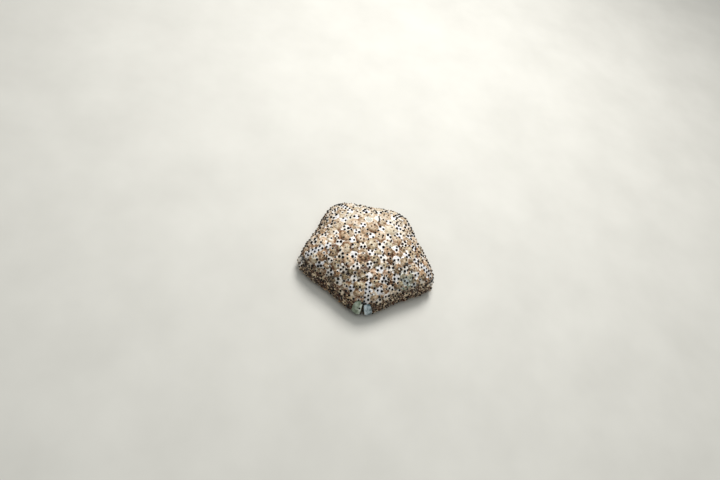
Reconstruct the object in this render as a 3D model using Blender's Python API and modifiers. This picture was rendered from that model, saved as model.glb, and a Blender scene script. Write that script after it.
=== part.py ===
"""A cushion star: a sea star whose five short arms have grown into one plump, five-sided body.

Metres, +Z up. The star rests on its flat sole at Z = 0, and its front arm points along -Y.
The body is modelled whole, then parted by thin cuts into the disc, the arms and their upturned tips.
Under it, five furrows with tube feet run from the mouth and curl up between two lips at each tip.
"""

import math

import bmesh
import bpy
from mathutils import Matrix, Vector

# Driving dimensions of the body.
CORNER_REACH = {"front": 0.1031, "right": 0.1185, "back_right": 0.0995, "back_left": 0.1000, "left": 0.1082}
CORNER_POWER = 8.4
SIDE_HOLLOW = 0.027
SIDE_HOLLOW_ANGLE = math.radians(14)
HEIGHT = 0.0640
RIM_LEVEL = 0.0100
UNDERCURL = 0.0150
DOME_POWER = 2.3
ARM_STEP = math.radians(72)
ARM_NAMES = tuple(CORNER_REACH)
SIDE_NAMES = ("front_right", "side_right", "back", "side_left", "front_left")

# How finely the body is divided, round it and from the top over the rim to the sole.
BODY_SEGMENTS = 70
DOME_RINGS, CURL_RINGS = 13, 3

# Where the body is parted.
DISC_RADIUS = 0.0450
TIP_RADIUS = 0.0200
PARTING = 0.0004
POST_TURN = math.radians(2.7)
CUT_BELOW, CUT_ABOVE = -0.02, 0.09
SECTOR_STEPS = 11

# The furrow under each arm, which narrows where it curls up at the tip.
FURROW_RADIUS = 0.0040
FURROW_END_RADIUS = 0.0014
FURROW_SINK = 0.5
FURROW_START = 0.0085
FURROW_TOP = 0.0240
TUBE_TILT = math.radians(8)
FURROW_SIDES, RIDGE_SIDES = 10, 6
LEVEL_STEPS, CURL_STEPS = 2, 8
RIDGE_SHARE = 0.42
RIDGE_START = 0.0125
RIDGE_TOP = 0.0150
CLEARANCE = 0.00035

# Tube feet, in two rows on the ridge in each furrow.
FOOT_PAIRS = 5
FOOT_RADIUS = 0.0009
FOOT_LENGTH = 0.0030
FOOT_SPLAY = math.radians(28)

# The lips beside each furrow's end, and the small plate over it.
LIP_OFFSET = 0.0073
LIP_LEVEL = 0.0143
LIP_HALF_SIZES = {"left": (0.0087, 0.0112, 0.0051), "right": (0.0079, 0.0103, 0.0049)}
LIP_SINK = 0.0035
PLATE_LEVEL = 0.0268
PLATE_HALF_SIZE = (0.0038, 0.0014, 0.0016)

# The sieve plate on the back, and the mouth under the disc.
SIEVE_ANGLE = math.radians(190)
SIEVE_DISTANCE = 0.0330
SIEVE_RADIUS = 0.0046
SIEVE_THICKNESS = 0.0026
SIEVE_BED = 0.0014
MOUTH_RADIUS = 0.0110
MOUTH_DEPTH = 0.0070
JAW_LENGTH = 0.0072
JAW_WIDTHS = (0.0070, 0.0018)
JAW_BOTTOM = 0.0008

COLOURS = {
    "disc": (0.66, 0.56, 0.45),
    "arm": (0.62, 0.50, 0.38),
    "arm_tip": (0.42, 0.47, 0.43),
    "terminal_plate": (0.03, 0.03, 0.03),
    "ambulacrum": (0.72, 0.60, 0.42),
    "jaw": (0.80, 0.74, 0.62),
    "madreporite": (0.80, 0.80, 0.72),
}
ROUGHNESS = 0.55


def clear_scene():
    """Removes every object of the scene that Blender starts with."""
    for obj in list(bpy.data.objects):
        bpy.data.objects.remove(obj, do_unlink=True)


def new_collection(name):
    """A collection under the scene's own."""
    collection = bpy.data.collections.new(name)
    bpy.context.scene.collection.children.link(collection)
    return collection


def principled(name, colour):
    """A plain Principled material of that colour."""
    material = bpy.data.materials.new(name)
    material.use_nodes = True
    shader = material.node_tree.nodes["Principled BSDF"]
    shader.inputs["Base Color"].default_value = (*colour, 1.0)
    shader.inputs["Roughness"].default_value = ROUGHNESS
    shader.inputs["Metallic"].default_value = 0.0
    return material


def bearing(angle):
    """The level direction at an angle that is measured from the front arm towards +X."""
    return Vector((math.sin(angle), -math.cos(angle), 0.0))


def pentagon_sides():
    """(outward normal, distance) of the straight sides between the arms' pointed corners."""
    corners = [bearing(index * ARM_STEP) * reach for index, reach in enumerate(CORNER_REACH.values())]
    sides = []
    for corner, following in zip(corners, corners[1:] + corners[:1]):
        normal = (following - corner).cross(Vector((0, 0, 1))).normalized()
        sides.append((normal, corner.dot(normal)))
    return sides


def reach_at(angle):
    """How far the rim is from the middle of the disc at that angle: a pentagon whose corners are
    rounded by a power mean of its sides, and whose sides are a little hollow."""
    out = bearing(angle)
    total = sum(max(out.dot(normal) / distance, 0.0) ** CORNER_POWER for normal, distance in SIDES)
    from_side = (angle / ARM_STEP) % 1.0 - 0.5
    hollow = SIDE_HOLLOW * math.exp(-((from_side * ARM_STEP / SIDE_HOLLOW_ANGLE) ** 2))
    return total ** (-1.0 / CORNER_POWER) * (1.0 - hollow)


SIDES = pentagon_sides()


def rim_section(reach, slope):
    """(distance, level) on the upright section of that reach: slope is 90 degrees at the top of
    the dome, 0 at the rim and -90 degrees where the undercurl meets the sole."""
    level, out = abs(math.sin(slope)), max(math.cos(slope), 0.0)
    if slope >= 0:
        exponent = 2.0 / DOME_POWER
        return reach * out**exponent, RIM_LEVEL + (HEIGHT - RIM_LEVEL) * level**exponent
    return reach - UNDERCURL * (1.0 - out), RIM_LEVEL * (1.0 - level)


def body_point(angle, slope):
    """The point of the body at that bearing and slope."""
    distance, level = rim_section(reach_at(angle), slope)
    return bearing(angle) * distance + Vector((0, 0, level))


def slope_at_level(level):
    """The slope at which the dome has that height."""
    share = (level - RIM_LEVEL) / (HEIGHT - RIM_LEVEL)
    return math.asin(math.copysign(abs(share) ** (DOME_POWER / 2.0), share))


def slope_at_distance(angle, distance):
    """The slope at which the dome is that far from the middle of the disc."""
    return math.acos((distance / reach_at(angle)) ** (DOME_POWER / 2.0))


def seat_on_body(angle, slope, sink=0.0):
    """A matrix whose Z points out of the body there, and whose Y points up the body."""
    step = math.radians(0.5)
    point = body_point(angle, slope)
    up = (body_point(angle, slope + step) - point).normalized()
    across = (body_point(angle + step, slope) - body_point(angle - step, slope)).normalized()
    out = across.cross(up).normalized()
    across = up.cross(out)
    turn = Matrix((across, up, out)).transposed().to_4x4()
    return Matrix.Translation(point - out * sink) @ turn


def body_mesh():
    """The whole body: a sphere whose rings become the dome and the undercurl, on one flat sole."""
    rings = DOME_RINGS + CURL_RINGS + 1
    bm = bmesh.new()
    bmesh.ops.create_uvsphere(bm, u_segments=BODY_SEGMENTS, v_segments=rings, radius=1.0)
    for vertex in bm.verts:
        x, y, z = vertex.co
        angle = math.atan2(x, -y)
        ring = round(math.acos(max(-1.0, min(1.0, z))) / math.pi * rings)
        if ring <= DOME_RINGS:
            vertex.co = body_point(angle, math.pi / 2 * (1.0 - ring / DOME_RINGS))
        elif ring < rings:
            vertex.co = body_point(angle, -math.pi / 2 * (ring - DOME_RINGS) / CURL_RINGS)
        else:
            vertex.co = (0.0, 0.0, 0.0)
            sole = list(vertex.link_faces)
    bmesh.ops.dissolve_faces(bm, faces=sole, use_verts=False)
    bmesh.ops.triangulate(bm, faces=[face for face in bm.faces if len(face.verts) == 4])
    mesh = bpy.data.meshes.new("body")
    bm.to_mesh(mesh)
    bm.free()
    mesh.shade_smooth()
    return mesh


def add_object(name, mesh, collection, root, place=None, colour=None):
    """An object of that mesh, under the root, with a material of its own where it is a part."""
    obj = bpy.data.objects.new(name, mesh)
    collection.objects.link(obj)
    obj.parent = root
    if place is not None:
        obj.matrix_local = place
    if colour is not None:
        if not mesh.materials:
            mesh.materials.append(None)
        obj.material_slots[0].link = "OBJECT"
        obj.material_slots[0].material = principled(name, colour)
    return obj


def as_cutter(obj):
    """Marks an object as a helper that only shapes others."""
    obj.hide_render = True
    obj.display_type = "WIRE"
    return obj


def mesh_of_curve(curve_object):
    """A plain mesh in the place of a curve object, with its caps welded on."""
    graph = bpy.context.evaluated_depsgraph_get()
    mesh = bpy.data.meshes.new_from_object(curve_object.evaluated_get(graph))
    bm = bmesh.new()
    bm.from_mesh(mesh)
    bmesh.ops.remove_doubles(bm, verts=bm.verts, dist=1e-6)
    bmesh.ops.triangulate(bm, faces=bm.faces)
    bmesh.ops.recalc_face_normals(bm, faces=bm.faces)
    bm.to_mesh(mesh)
    bm.free()
    curve = curve_object.data
    bpy.data.objects.remove(curve_object, do_unlink=True)
    bpy.data.curves.remove(curve)
    return mesh


def outline_prism(outline):
    """The mesh of a level outline, extruded to reach right through the body."""
    curve = bpy.data.curves.new("outline", "CURVE")
    curve.dimensions = "2D"
    curve.fill_mode = "BOTH"
    curve.extrude = (CUT_ABOVE - CUT_BELOW) / 2
    spline = curve.splines.new("POLY")
    spline.points.add(len(outline) - 1)
    for point, (x, y) in zip(spline.points, outline):
        point.co = (x, y, 0.0, 1.0)
    spline.use_cyclic_u = True
    obj = bpy.data.objects.new("outline", curve)
    bpy.context.scene.collection.objects.link(obj)
    mesh = mesh_of_curve(obj)
    mesh.transform(Matrix.Translation((0, 0, (CUT_ABOVE + CUT_BELOW) / 2)))
    return mesh


def tapered_tube(stations, sides):
    """The mesh of a tube through stations of (point, radius), closed at both ends."""
    curve = bpy.data.curves.new("tube", "CURVE")
    curve.dimensions = "3D"
    curve.bevel_depth = 1.0
    curve.bevel_resolution = sides // 2 - 2
    curve.use_fill_caps = True
    spline = curve.splines.new("POLY")
    spline.points.add(len(stations) - 1)
    for point, (place, radius) in zip(spline.points, stations):
        point.co = (*place, 1.0)
        point.radius = radius
        point.tilt = TUBE_TILT
    obj = bpy.data.objects.new("tube", curve)
    bpy.context.scene.collection.objects.link(obj)
    return mesh_of_curve(obj)


def ellipsoid(half_size, segments=10, rings=7):
    """The mesh of a sphere stretched to those half sizes."""
    bm = bmesh.new()
    bmesh.ops.create_uvsphere(bm, u_segments=segments, v_segments=rings, radius=1.0,
                              matrix=Matrix.Rotation(TUBE_TILT, 4, "Z"))
    bmesh.ops.scale(bm, vec=half_size, verts=bm.verts)
    mesh = bpy.data.meshes.new("ellipsoid")
    bm.to_mesh(mesh)
    bm.free()
    mesh.shade_smooth()
    return mesh


def round_post(radius, low, high, segments):
    """The mesh of an upright cylinder between two levels. It is turned a little, so that none of
    its edges falls on an edge of the body."""
    place = Matrix.Translation((0, 0, (low + high) / 2)) @ Matrix.Rotation(POST_TURN, 4, "Z")
    bm = bmesh.new()
    bmesh.ops.create_cone(bm, cap_ends=True, segments=segments, radius1=radius, radius2=radius,
                          depth=high - low, matrix=place)
    mesh = bpy.data.meshes.new("post")
    bm.to_mesh(mesh)
    bm.free()
    return mesh


def combine(obj, other, operation):
    """Adds a Boolean of the other object."""
    modifier = obj.modifiers.new(f"{operation.lower()} {other.name}", "BOOLEAN")
    modifier.operation = operation
    modifier.object = other
    modifier.solver = "EXACT"


def arm_sector_outline(angle):
    """The plan of one arm's share of the body: from the disc out past the tip, between the
    middles of the two sides, each edge half a parting inside its line."""
    inner = DISC_RADIUS + PARTING / 2
    half = ARM_STEP / 2
    inset = math.asin(PARTING / 2 / inner)
    outline = []
    for step in range(SECTOR_STEPS + 1):
        turn = angle - half + inset + (2 * half - 2 * inset) * step / SECTOR_STEPS
        outline.append(bearing(turn).xy * inner)
    beyond = 2.0 * max(CORNER_REACH.values())
    far_inset = math.asin(PARTING / 2 / beyond)
    for turn in (angle + half - far_inset, angle - half + far_inset):
        outline.append(bearing(turn).xy * beyond)
    return outline


def furrow_stations(angle, start, top, radius_of, depth_of):
    """Stations of (point, radius) along a furrow: level under the sole, then up round the tip."""
    reach = reach_at(angle)
    out = bearing(angle)
    end_slope = slope_at_level(top)
    stations = []
    sole_end = reach - UNDERCURL
    for step in range(LEVEL_STEPS):
        distance = start + (sole_end - start) * step / LEVEL_STEPS
        radius = radius_of(0.0)
        stations.append((out * distance + Vector((0, 0, depth_of(radius))), radius))
    for step in range(CURL_STEPS + 1):
        share = step / CURL_STEPS
        slope = -math.pi / 2 + (end_slope + math.pi / 2) * share
        radius = radius_of(share)
        seat = seat_on_body(angle, slope, depth_of(radius))
        stations.append((seat.translation, radius))
    return stations


def furrow_radius(share):
    """The furrow's radius, from its full size under the sole to its narrow end."""
    return FURROW_RADIUS + (FURROW_END_RADIUS - FURROW_RADIUS) * share**1.5


def furrow_depth(radius):
    """How far inside the body's surface the furrow's centre line runs."""
    return radius * FURROW_SINK


def ridge_radius(share):
    """The radius of the ridge that lies along the furrow's roof."""
    return furrow_radius(share) * RIDGE_SHARE


def ridge_depth(radius):
    """How far inside the body's surface the ridge's centre line runs."""
    roof = radius / RIDGE_SHARE * (1.0 + FURROW_SINK)
    return roof - radius - CLEARANCE


def tube_feet_mesh(angle):
    """The mesh of two rows of blunt feet along a ridge, each splayed out and down from it."""
    first = RIDGE_START + FOOT_RADIUS * 2
    last = reach_at(angle) - UNDERCURL - FOOT_RADIUS * 2
    out = bearing(angle)
    aside = Vector((0, 0, 1)).cross(out)
    root = ridge_depth(ridge_radius(0.0))
    bm = bmesh.new()
    for pair in range(FOOT_PAIRS):
        distance = first + (last - first) * pair / (FOOT_PAIRS - 1)
        for side in (-1, 1):
            lean = Matrix.Rotation(side * FOOT_SPLAY, 4, out)
            place = Matrix.Translation(out * distance + aside * side * FOOT_RADIUS)
            drop = Matrix.Translation((0, 0, root)) @ place @ lean
            middle = Matrix.Translation((0, 0, -FOOT_LENGTH / 2))
            bmesh.ops.create_cone(bm, cap_ends=True, segments=5, radius1=FOOT_RADIUS,
                                  radius2=FOOT_RADIUS * 0.8, depth=FOOT_LENGTH,
                                  matrix=drop @ middle)
    mesh = bpy.data.meshes.new("tube_feet")
    bm.to_mesh(mesh)
    bm.free()
    return mesh


def jaw_mesh():
    """The mesh of one jaw: a wedge that points at the middle of the mouth, its end outwards."""
    top = MOUTH_DEPTH - CLEARANCE
    bm = bmesh.new()
    bmesh.ops.create_cube(bm, size=1.0)
    back = -(MOUTH_RADIUS - 2 * CLEARANCE)
    for vertex in bm.verts:
        at_back = vertex.co.y < 0
        width = JAW_WIDTHS[0] if at_back else JAW_WIDTHS[1]
        vertex.co.x *= width
        vertex.co.y = back if at_back else back + JAW_LENGTH
        vertex.co.z = top if vertex.co.z > 0 else JAW_BOTTOM
    mesh = bpy.data.meshes.new("jaw")
    bm.to_mesh(mesh)
    bm.free()
    return mesh


def root_under_the_box(mesh, collection):
    """An empty that shifts everything, so that the origin is under the middle of the body's box."""
    xs = [vertex.co.x for vertex in mesh.vertices]
    ys = [vertex.co.y for vertex in mesh.vertices]
    root = bpy.data.objects.new("cushion_star", None)
    root.location = (-(min(xs) + max(xs)) / 2, -(min(ys) + max(ys)) / 2, 0.0)
    collection.objects.link(root)
    return root


def build_furrows(cutters, root):
    """The cutters that open a furrow under each arm, by arm name."""
    furrows = {}
    for index, name in enumerate(ARM_NAMES):
        stations = furrow_stations(index * ARM_STEP, FURROW_START, FURROW_TOP, furrow_radius, furrow_depth)
        mesh = tapered_tube(stations, sides=FURROW_SIDES)
        furrows[name] = as_cutter(add_object(f"furrow_cutter_{name}", mesh, cutters, root))
    return furrows


def build_disc(whole, parts, cutters, root, furrows):
    """The middle of the body, with the mouth under it and the bed of the sieve plate on it."""
    disc = add_object("disc", whole.copy(), parts, root, colour=COLOURS["disc"])
    core = round_post(DISC_RADIUS - PARTING / 2, CUT_BELOW, CUT_ABOVE, segments=40)
    combine(disc, as_cutter(add_object("disc_outline", core, cutters, root)), "INTERSECT")
    mouth = round_post(MOUTH_RADIUS, CUT_BELOW, MOUTH_DEPTH, segments=20)
    combine(disc, as_cutter(add_object("mouth_cutter", mouth, cutters, root)), "DIFFERENCE")
    for furrow in furrows.values():
        combine(disc, furrow, "DIFFERENCE")
    seat = seat_on_body(SIEVE_ANGLE, slope_at_distance(SIEVE_ANGLE, SIEVE_DISTANCE))
    bed = round_post(SIEVE_RADIUS + CLEARANCE, -SIEVE_BED, SIEVE_THICKNESS, segments=24)
    combine(disc, as_cutter(add_object("sieve_bed", bed, cutters, root, seat)), "DIFFERENCE")
    return disc


def build_sieve_plate(parts, root):
    """The low round button of the sieve plate, in its bed on the back of the disc."""
    seat = seat_on_body(SIEVE_ANGLE, slope_at_distance(SIEVE_ANGLE, SIEVE_DISTANCE))
    low = CLEARANCE - SIEVE_BED
    mesh = round_post(SIEVE_RADIUS, low, low + SIEVE_THICKNESS, segments=20)
    plate = add_object("madreporite", mesh, parts, root, seat, COLOURS["madreporite"])
    edge = plate.modifiers.new("rounded edge", "BEVEL")
    edge.width = SIEVE_THICKNESS * 0.3
    edge.segments = 1
    edge.limit_method = "ANGLE"
    mesh.shade_smooth()


def build_arm(name, angle, whole, parts, cutters, root, furrow):
    """One arm and its tip, which has the furrow's upturned end between two lips."""
    sector = outline_prism(arm_sector_outline(angle))
    sector = as_cutter(add_object(f"arm_outline_{name}", sector, cutters, root))
    tip_place = Matrix.Translation(bearing(angle) * reach_at(angle))
    past_tip = round_post(TIP_RADIUS + PARTING, CUT_BELOW, CUT_ABOVE, segments=24)
    past_tip = as_cutter(add_object(f"tip_clearance_{name}", past_tip, cutters, root, tip_place))
    around_tip = round_post(TIP_RADIUS, CUT_BELOW, CUT_ABOVE, segments=24)
    around_tip = as_cutter(add_object(f"tip_outline_{name}", around_tip, cutters, root, tip_place))

    arm = add_object(f"arm_{name}", whole.copy(), parts, root, colour=COLOURS["arm"])
    combine(arm, sector, "INTERSECT")
    combine(arm, past_tip, "DIFFERENCE")
    combine(arm, furrow, "DIFFERENCE")

    tip = add_object(f"arm_tip_{name}", whole.copy(), parts, root, colour=COLOURS["arm_tip"])
    combine(tip, around_tip, "INTERSECT")
    slope = slope_at_level(LIP_LEVEL)
    for side, (word, half_size) in zip((-1, 1), LIP_HALF_SIZES.items()):
        seat = seat_on_body(angle + side * LIP_OFFSET / reach_at(angle), slope, LIP_SINK)
        lip = add_object(f"lip_{name}_{word}", ellipsoid(half_size), cutters, root, seat)
        combine(tip, as_cutter(lip), "UNION")
    combine(tip, furrow, "DIFFERENCE")

    seat = seat_on_body(angle, slope_at_level(PLATE_LEVEL))
    grown = [half + CLEARANCE for half in PLATE_HALF_SIZE]
    socket = add_object(f"plate_socket_{name}", ellipsoid(grown), cutters, root, seat)
    combine(tip, as_cutter(socket), "DIFFERENCE")
    add_object(f"terminal_plate_{name}", ellipsoid(PLATE_HALF_SIZE), parts, root, seat,
               COLOURS["terminal_plate"])


def build_ambulacrum(name, angle, parts, cutters, root):
    """The ridge along the roof of one furrow, with its two rows of tube feet."""
    stations = furrow_stations(angle, RIDGE_START, RIDGE_TOP, ridge_radius, ridge_depth)
    ridge = add_object(f"ambulacrum_{name}", tapered_tube(stations, sides=RIDGE_SIDES), parts, root,
                       colour=COLOURS["ambulacrum"])
    feet = add_object(f"tube_feet_{name}", tube_feet_mesh(angle), cutters, root)
    combine(ridge, as_cutter(feet), "UNION")


def build_jaws(parts, root):
    """The five jaws round the mouth, one under the middle of each side."""
    mesh = jaw_mesh()
    for index, name in enumerate(SIDE_NAMES):
        turn = Matrix.Rotation((index + 0.5) * ARM_STEP, 4, "Z")
        jaw = add_object(f"jaw_{name}", mesh, parts, root, turn, COLOURS["jaw"])
        edge = jaw.modifiers.new("rounded edges", "BEVEL")
        edge.width = JAW_WIDTHS[1] * 0.3
        edge.segments = 1


def main():
    clear_scene()
    parts = new_collection("cushion_star")
    cutters = new_collection("cutters")
    whole = body_mesh()
    root = root_under_the_box(whole, parts)
    furrows = build_furrows(cutters, root)
    build_disc(whole, parts, cutters, root, furrows)
    build_sieve_plate(parts, root)
    for index, (name, furrow) in enumerate(furrows.items()):
        build_arm(name, index * ARM_STEP, whole, parts, cutters, root, furrow)
        build_ambulacrum(name, index * ARM_STEP, parts, cutters, root)
    build_jaws(parts, root)


main()
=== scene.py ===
"""A spiny cushion sea star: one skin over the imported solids, with its knobs, puffs, jaws and tube feet."""

import logging
import math
from dataclasses import dataclass, field
from enum import Enum

import bpy
import numpy as np
from mathutils import Matrix, Vector, noise


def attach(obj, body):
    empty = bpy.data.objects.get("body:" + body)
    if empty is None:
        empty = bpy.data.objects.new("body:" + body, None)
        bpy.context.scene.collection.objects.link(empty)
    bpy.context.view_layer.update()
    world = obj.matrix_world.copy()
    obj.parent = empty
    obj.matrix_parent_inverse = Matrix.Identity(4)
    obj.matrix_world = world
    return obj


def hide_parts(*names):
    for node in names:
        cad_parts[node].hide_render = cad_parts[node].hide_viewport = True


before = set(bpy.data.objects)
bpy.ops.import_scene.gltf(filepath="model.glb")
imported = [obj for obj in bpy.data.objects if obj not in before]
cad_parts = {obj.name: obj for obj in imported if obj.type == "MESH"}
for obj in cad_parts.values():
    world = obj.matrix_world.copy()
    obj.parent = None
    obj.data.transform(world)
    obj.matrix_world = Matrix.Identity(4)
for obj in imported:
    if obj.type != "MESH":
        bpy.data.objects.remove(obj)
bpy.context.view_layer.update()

LOG = logging.getLogger("cushion_star")
FULL_TURN = 2 * math.pi
ARM_STEP = math.radians(72)
UP = np.array([0.0, 0.0, 1.0])
DOWN_SLOPE = -math.pi / 2
CHART = "OFBake"
DRIFT_SEED = 7
Array = np.ndarray
Socket = bpy.types.NodeSocket
Colour = tuple[int, int, int]
Tones = tuple[tuple[float, Colour], ...]


class Way(Enum):
    """A way out from the disc's middle, in steps of one arm from the front towards +X."""

    @property
    def label(self) -> str:
        """How the names of the solids there end."""
        return self.name.lower()

    @property
    def angle(self) -> float:
        """Its bearing."""
        return self.value * ARM_STEP

    @property
    def out(self) -> Array:
        """The level direction out along it."""
        return bearing(np.array([self.angle]))[0]

    @property
    def across(self) -> Array:
        """The level direction across it, towards its right as seen from the tip's side."""
        return bearing(np.array([self.angle + math.pi / 2]))[0]


class Arm(Way):
    """The five arms."""

    FRONT = 0
    RIGHT = 1
    BACK_RIGHT = 2
    BACK_LEFT = 3
    LEFT = 4


class JawPlace(Way):
    """The five jaws, each between two arms."""

    FRONT_RIGHT = 0.5
    SIDE_RIGHT = 1.5
    BACK = 2.5
    SIDE_LEFT = 3.5
    FRONT_LEFT = 4.5


class Slot(Enum):
    """The finishes that the record names."""

    SKIN = "skin"
    TERMINAL_PLATE = "terminal_plate"
    TUBE_FEET = "tube_feet"
    JAWS = "jaws"
    SIEVE_PLATE = "sieve_plate"
    TUBERCLES = "tubercles"


def bearing(angle: Array) -> Array:
    """The level unit vectors at these angles, counted from -Y towards +X."""
    return np.stack([np.sin(angle), -np.cos(angle), np.zeros_like(angle)], -1)


def off_arm(angle: Array) -> Array:
    """How far these bearings are from the nearest arm's."""
    return ((angle / ARM_STEP + 0.5) % 1.0 - 0.5) * ARM_STEP


def on_front(angle: Array) -> Array:
    """Which bearings lie within the front arm, whose tip is curled up the most."""
    return np.cos(angle) > math.cos(ARM_STEP / 2)


def smooth_step(low: float, high: float, value: Array) -> Array:
    """Rises smoothly from 0 where value is low to 1 where it is high."""
    share = np.clip((value - low) / (high - low), 0.0, 1.0)
    return share * share * (3.0 - 2.0 * share)


def falling(low: float, high: float, value: Array) -> Array:
    """Falls smoothly from 1 where value is low to 0 where it is high."""
    return 1.0 - smooth_step(low, high, value)


def unit(vectors: Array) -> Array:
    """The same directions at length 1."""
    return vectors / np.maximum(np.linalg.norm(vectors, axis=-1, keepdims=True), 1e-12)


def level_distance(points: Array) -> Array:
    """How far out from the disc's middle these points lie."""
    return np.linalg.norm(points[:, :2], axis=1)


def flattened(points: Array) -> Array:
    """These points brought down to level 0."""
    return np.pad(points[:, :2], ((0, 0), (0, 1)))


def bearing_of(points: Array) -> Array:
    """The bearings at which these points lie, from 0 to a full turn."""
    return np.arctan2(points[:, 0], -points[:, 1]) % FULL_TURN


def along(wanted: float | Array, marks: Array, line: Array) -> Array:
    """The points of a line where its rising marks reach the wanted values."""
    return np.stack([np.interp(wanted, marks, line[:, axis]) for axis in range(3)], -1)


def run_lengths(points: Array) -> Array:
    """How far along a line each of its points lies."""
    return np.concatenate([[0.0], np.cumsum(np.linalg.norm(np.diff(points, axis=0), axis=1))])


def sized(radius: Array, height: Array) -> Array:
    """Round little shapes' half widths and heights, one row each."""
    return np.stack([radius, radius, height], -1)


def wavering(points: Array, size: float) -> Array:
    """Smooth noise at these points, each from about -1 to 1, in lumps about as large as size."""
    return np.array([noise.noise(Vector(point)) for point in points / size])


def drifting(points: Array, size: float) -> Array:
    """The same with three values a point."""
    return np.array([noise.noise_vector(Vector(point)) for point in points / size])


def joined_fields(groups: list, names: tuple[str, ...]) -> list[Array]:
    """Each named field of all the groups, end to end."""
    return [np.concatenate([getattr(group, name) for group in groups]) for name in names]


@dataclass(frozen=True)
class Spots:
    """Places on the body: each one's bearing, how far round the section it is, and how far in on the sole."""

    angle: Array
    slope: Array
    inset: Array

    def __len__(self) -> int:
        """How many places there are."""
        return len(self.angle)

    def pick(self, chosen: Array) -> "Spots":
        """The chosen places only."""
        return Spots(self.angle[chosen], self.slope[chosen], self.inset[chosen])

    @staticmethod
    def joined(groups: list["Spots"]) -> "Spots":
        """All the groups' places, in order."""
        return Spots(*joined_fields(groups, ("angle", "slope", "inset")))

    @staticmethod
    def on_dome(angle: Array, slope: Array) -> "Spots":
        """Places above the sole."""
        return Spots(angle, slope, np.ones_like(angle))


@dataclass(frozen=True)
class BodyForm:
    """The plump five-sided body as a rule, the same one that the solids follow.

    A place is a bearing, a slope round the section (90 degrees at the top, 0 at the rim, -90 where the sole
    starts), and an inset, which is 1 everywhere but on the sole, where it runs down to 0 at the middle.
    """

    corner_reach: tuple[float, ...] = (0.1031, 0.1185, 0.0995, 0.1000, 0.1082)
    corner_power: float = 8.4
    side_hollow: float = 0.027
    hollow_angle: float = math.radians(14)
    height: float = 0.0640
    rim_level: float = 0.0100
    undercurl: float = 0.0150
    dome_power: float = 2.3
    plan_segments: int = 70
    mean_reach: float = 0.0925

    def reach(self, angle: Array) -> Array:
        """How far the rim lies from the disc's middle.

        Args:
            angle: bearings.

        Returns:
            Distances in metres.
        """
        arms = np.arange(len(self.corner_reach)) * ARM_STEP
        corners = bearing(arms) * np.array(self.corner_reach)[:, None]
        following = np.roll(corners, -1, axis=0)
        normals = unit(np.cross(following - corners, UP))
        distances = (corners * normals).sum(-1)
        facing = np.maximum(bearing(angle) @ normals.T / distances, 0.0)
        from_side = (angle / ARM_STEP) % 1.0 - 0.5
        hollow = self.side_hollow * np.exp(-((from_side * ARM_STEP / self.hollow_angle) ** 2))
        return (facing**self.corner_power).sum(-1) ** (-1.0 / self.corner_power) * (1.0 - hollow)

    def points(self, spots: Spots) -> Array:
        """The places' points, round the disc's middle.

        Args:
            spots: places on the body.

        Returns:
            Points, one a row.
        """
        reach = self.reach(spots.angle)
        level, out = np.abs(np.sin(spots.slope)), np.maximum(np.cos(spots.slope), 0.0)
        power = 2.0 / self.dome_power
        above = spots.slope >= 0
        distance = np.where(above, reach * out**power, reach - self.undercurl * (1.0 - out))
        height = np.where(above, self.rim_level + (self.height - self.rim_level) * level**power,
                          self.rim_level * (1.0 - level))
        return bearing(spots.angle) * (distance * spots.inset)[:, None] + UP * height[:, None]

    def normals(self, spots: Spots) -> Array:
        """The body's outward directions.

        Args:
            spots: places on the body.

        Returns:
            Unit vectors, one a row.
        """
        step = math.radians(0.4)
        steep = np.clip(spots.slope, DOWN_SLOPE + step, math.pi / 2 - 2 * step)
        above, below = (self.points(Spots.on_dome(spots.angle, steep + way)) for way in (step, -step))
        after, before = (self.points(Spots.on_dome(spots.angle + way, steep)) for way in (step, -step))
        outward = unit(np.cross(after - before, above - below))
        flat = smooth_step(math.radians(-62), math.radians(-88), spots.slope)[:, None]
        return unit(outward * (1 - flat) - UP * flat)

    def located(self, points: Array) -> Spots:
        """The places on the dome nearest these points, which lie close to it.

        Args:
            points: points round the disc's middle.

        Returns:
            Their places, none of them on the sole.
        """
        angle = bearing_of(points)
        reach = self.reach(angle)
        distance = level_distance(points)
        half = self.dome_power / 2.0
        up = np.clip((points[:, 2] - self.rim_level) / (self.height - self.rim_level), 0.0, 1.0) ** half
        out = np.clip(distance / reach, 0.0, 1.2) ** half
        under = -np.arcsin(np.clip(1.0 - points[:, 2] / self.rim_level, 0.0, 1.0))
        return Spots.on_dome(angle, np.where(points[:, 2] >= self.rim_level, np.arctan2(up, out), under))

    def on_sole(self, points: Array) -> Spots:
        """The sole's places under these points.

        Args:
            points: points round the disc's middle.

        Returns:
            Their places.
        """
        angle = bearing_of(points)
        edge = self.reach(angle) - self.undercurl
        inset = np.clip(level_distance(points) / edge, 0.0, 0.999)
        return Spots(angle, np.full_like(angle, DOWN_SLOPE), inset)

    def meridian(self, angle: float, steps: int = 400) -> tuple[Array, Array, Array]:
        """One section from the top down to the sole's edge.

        Args:
            angle: the section's bearing.
            steps: how many stretches to measure it in.

        Returns:
            Its slopes, its lengths from the top in metres, and its points.
        """
        slopes = np.linspace(math.pi / 2, DOWN_SLOPE, steps + 1)
        points = self.points(Spots.on_dome(np.full_like(slopes, angle), slopes))
        return slopes, run_lengths(points), points

    def middle(self) -> Array:
        """Where the disc's middle lies in the row frame, whose origin is the box's middle.

        Returns:
            The point.
        """
        angles = np.arange(self.plan_segments) * FULL_TURN / self.plan_segments
        rim = bearing(angles) * self.reach(angles)[:, None]
        return -(rim.max(0) + rim.min(0)) / 2


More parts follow.
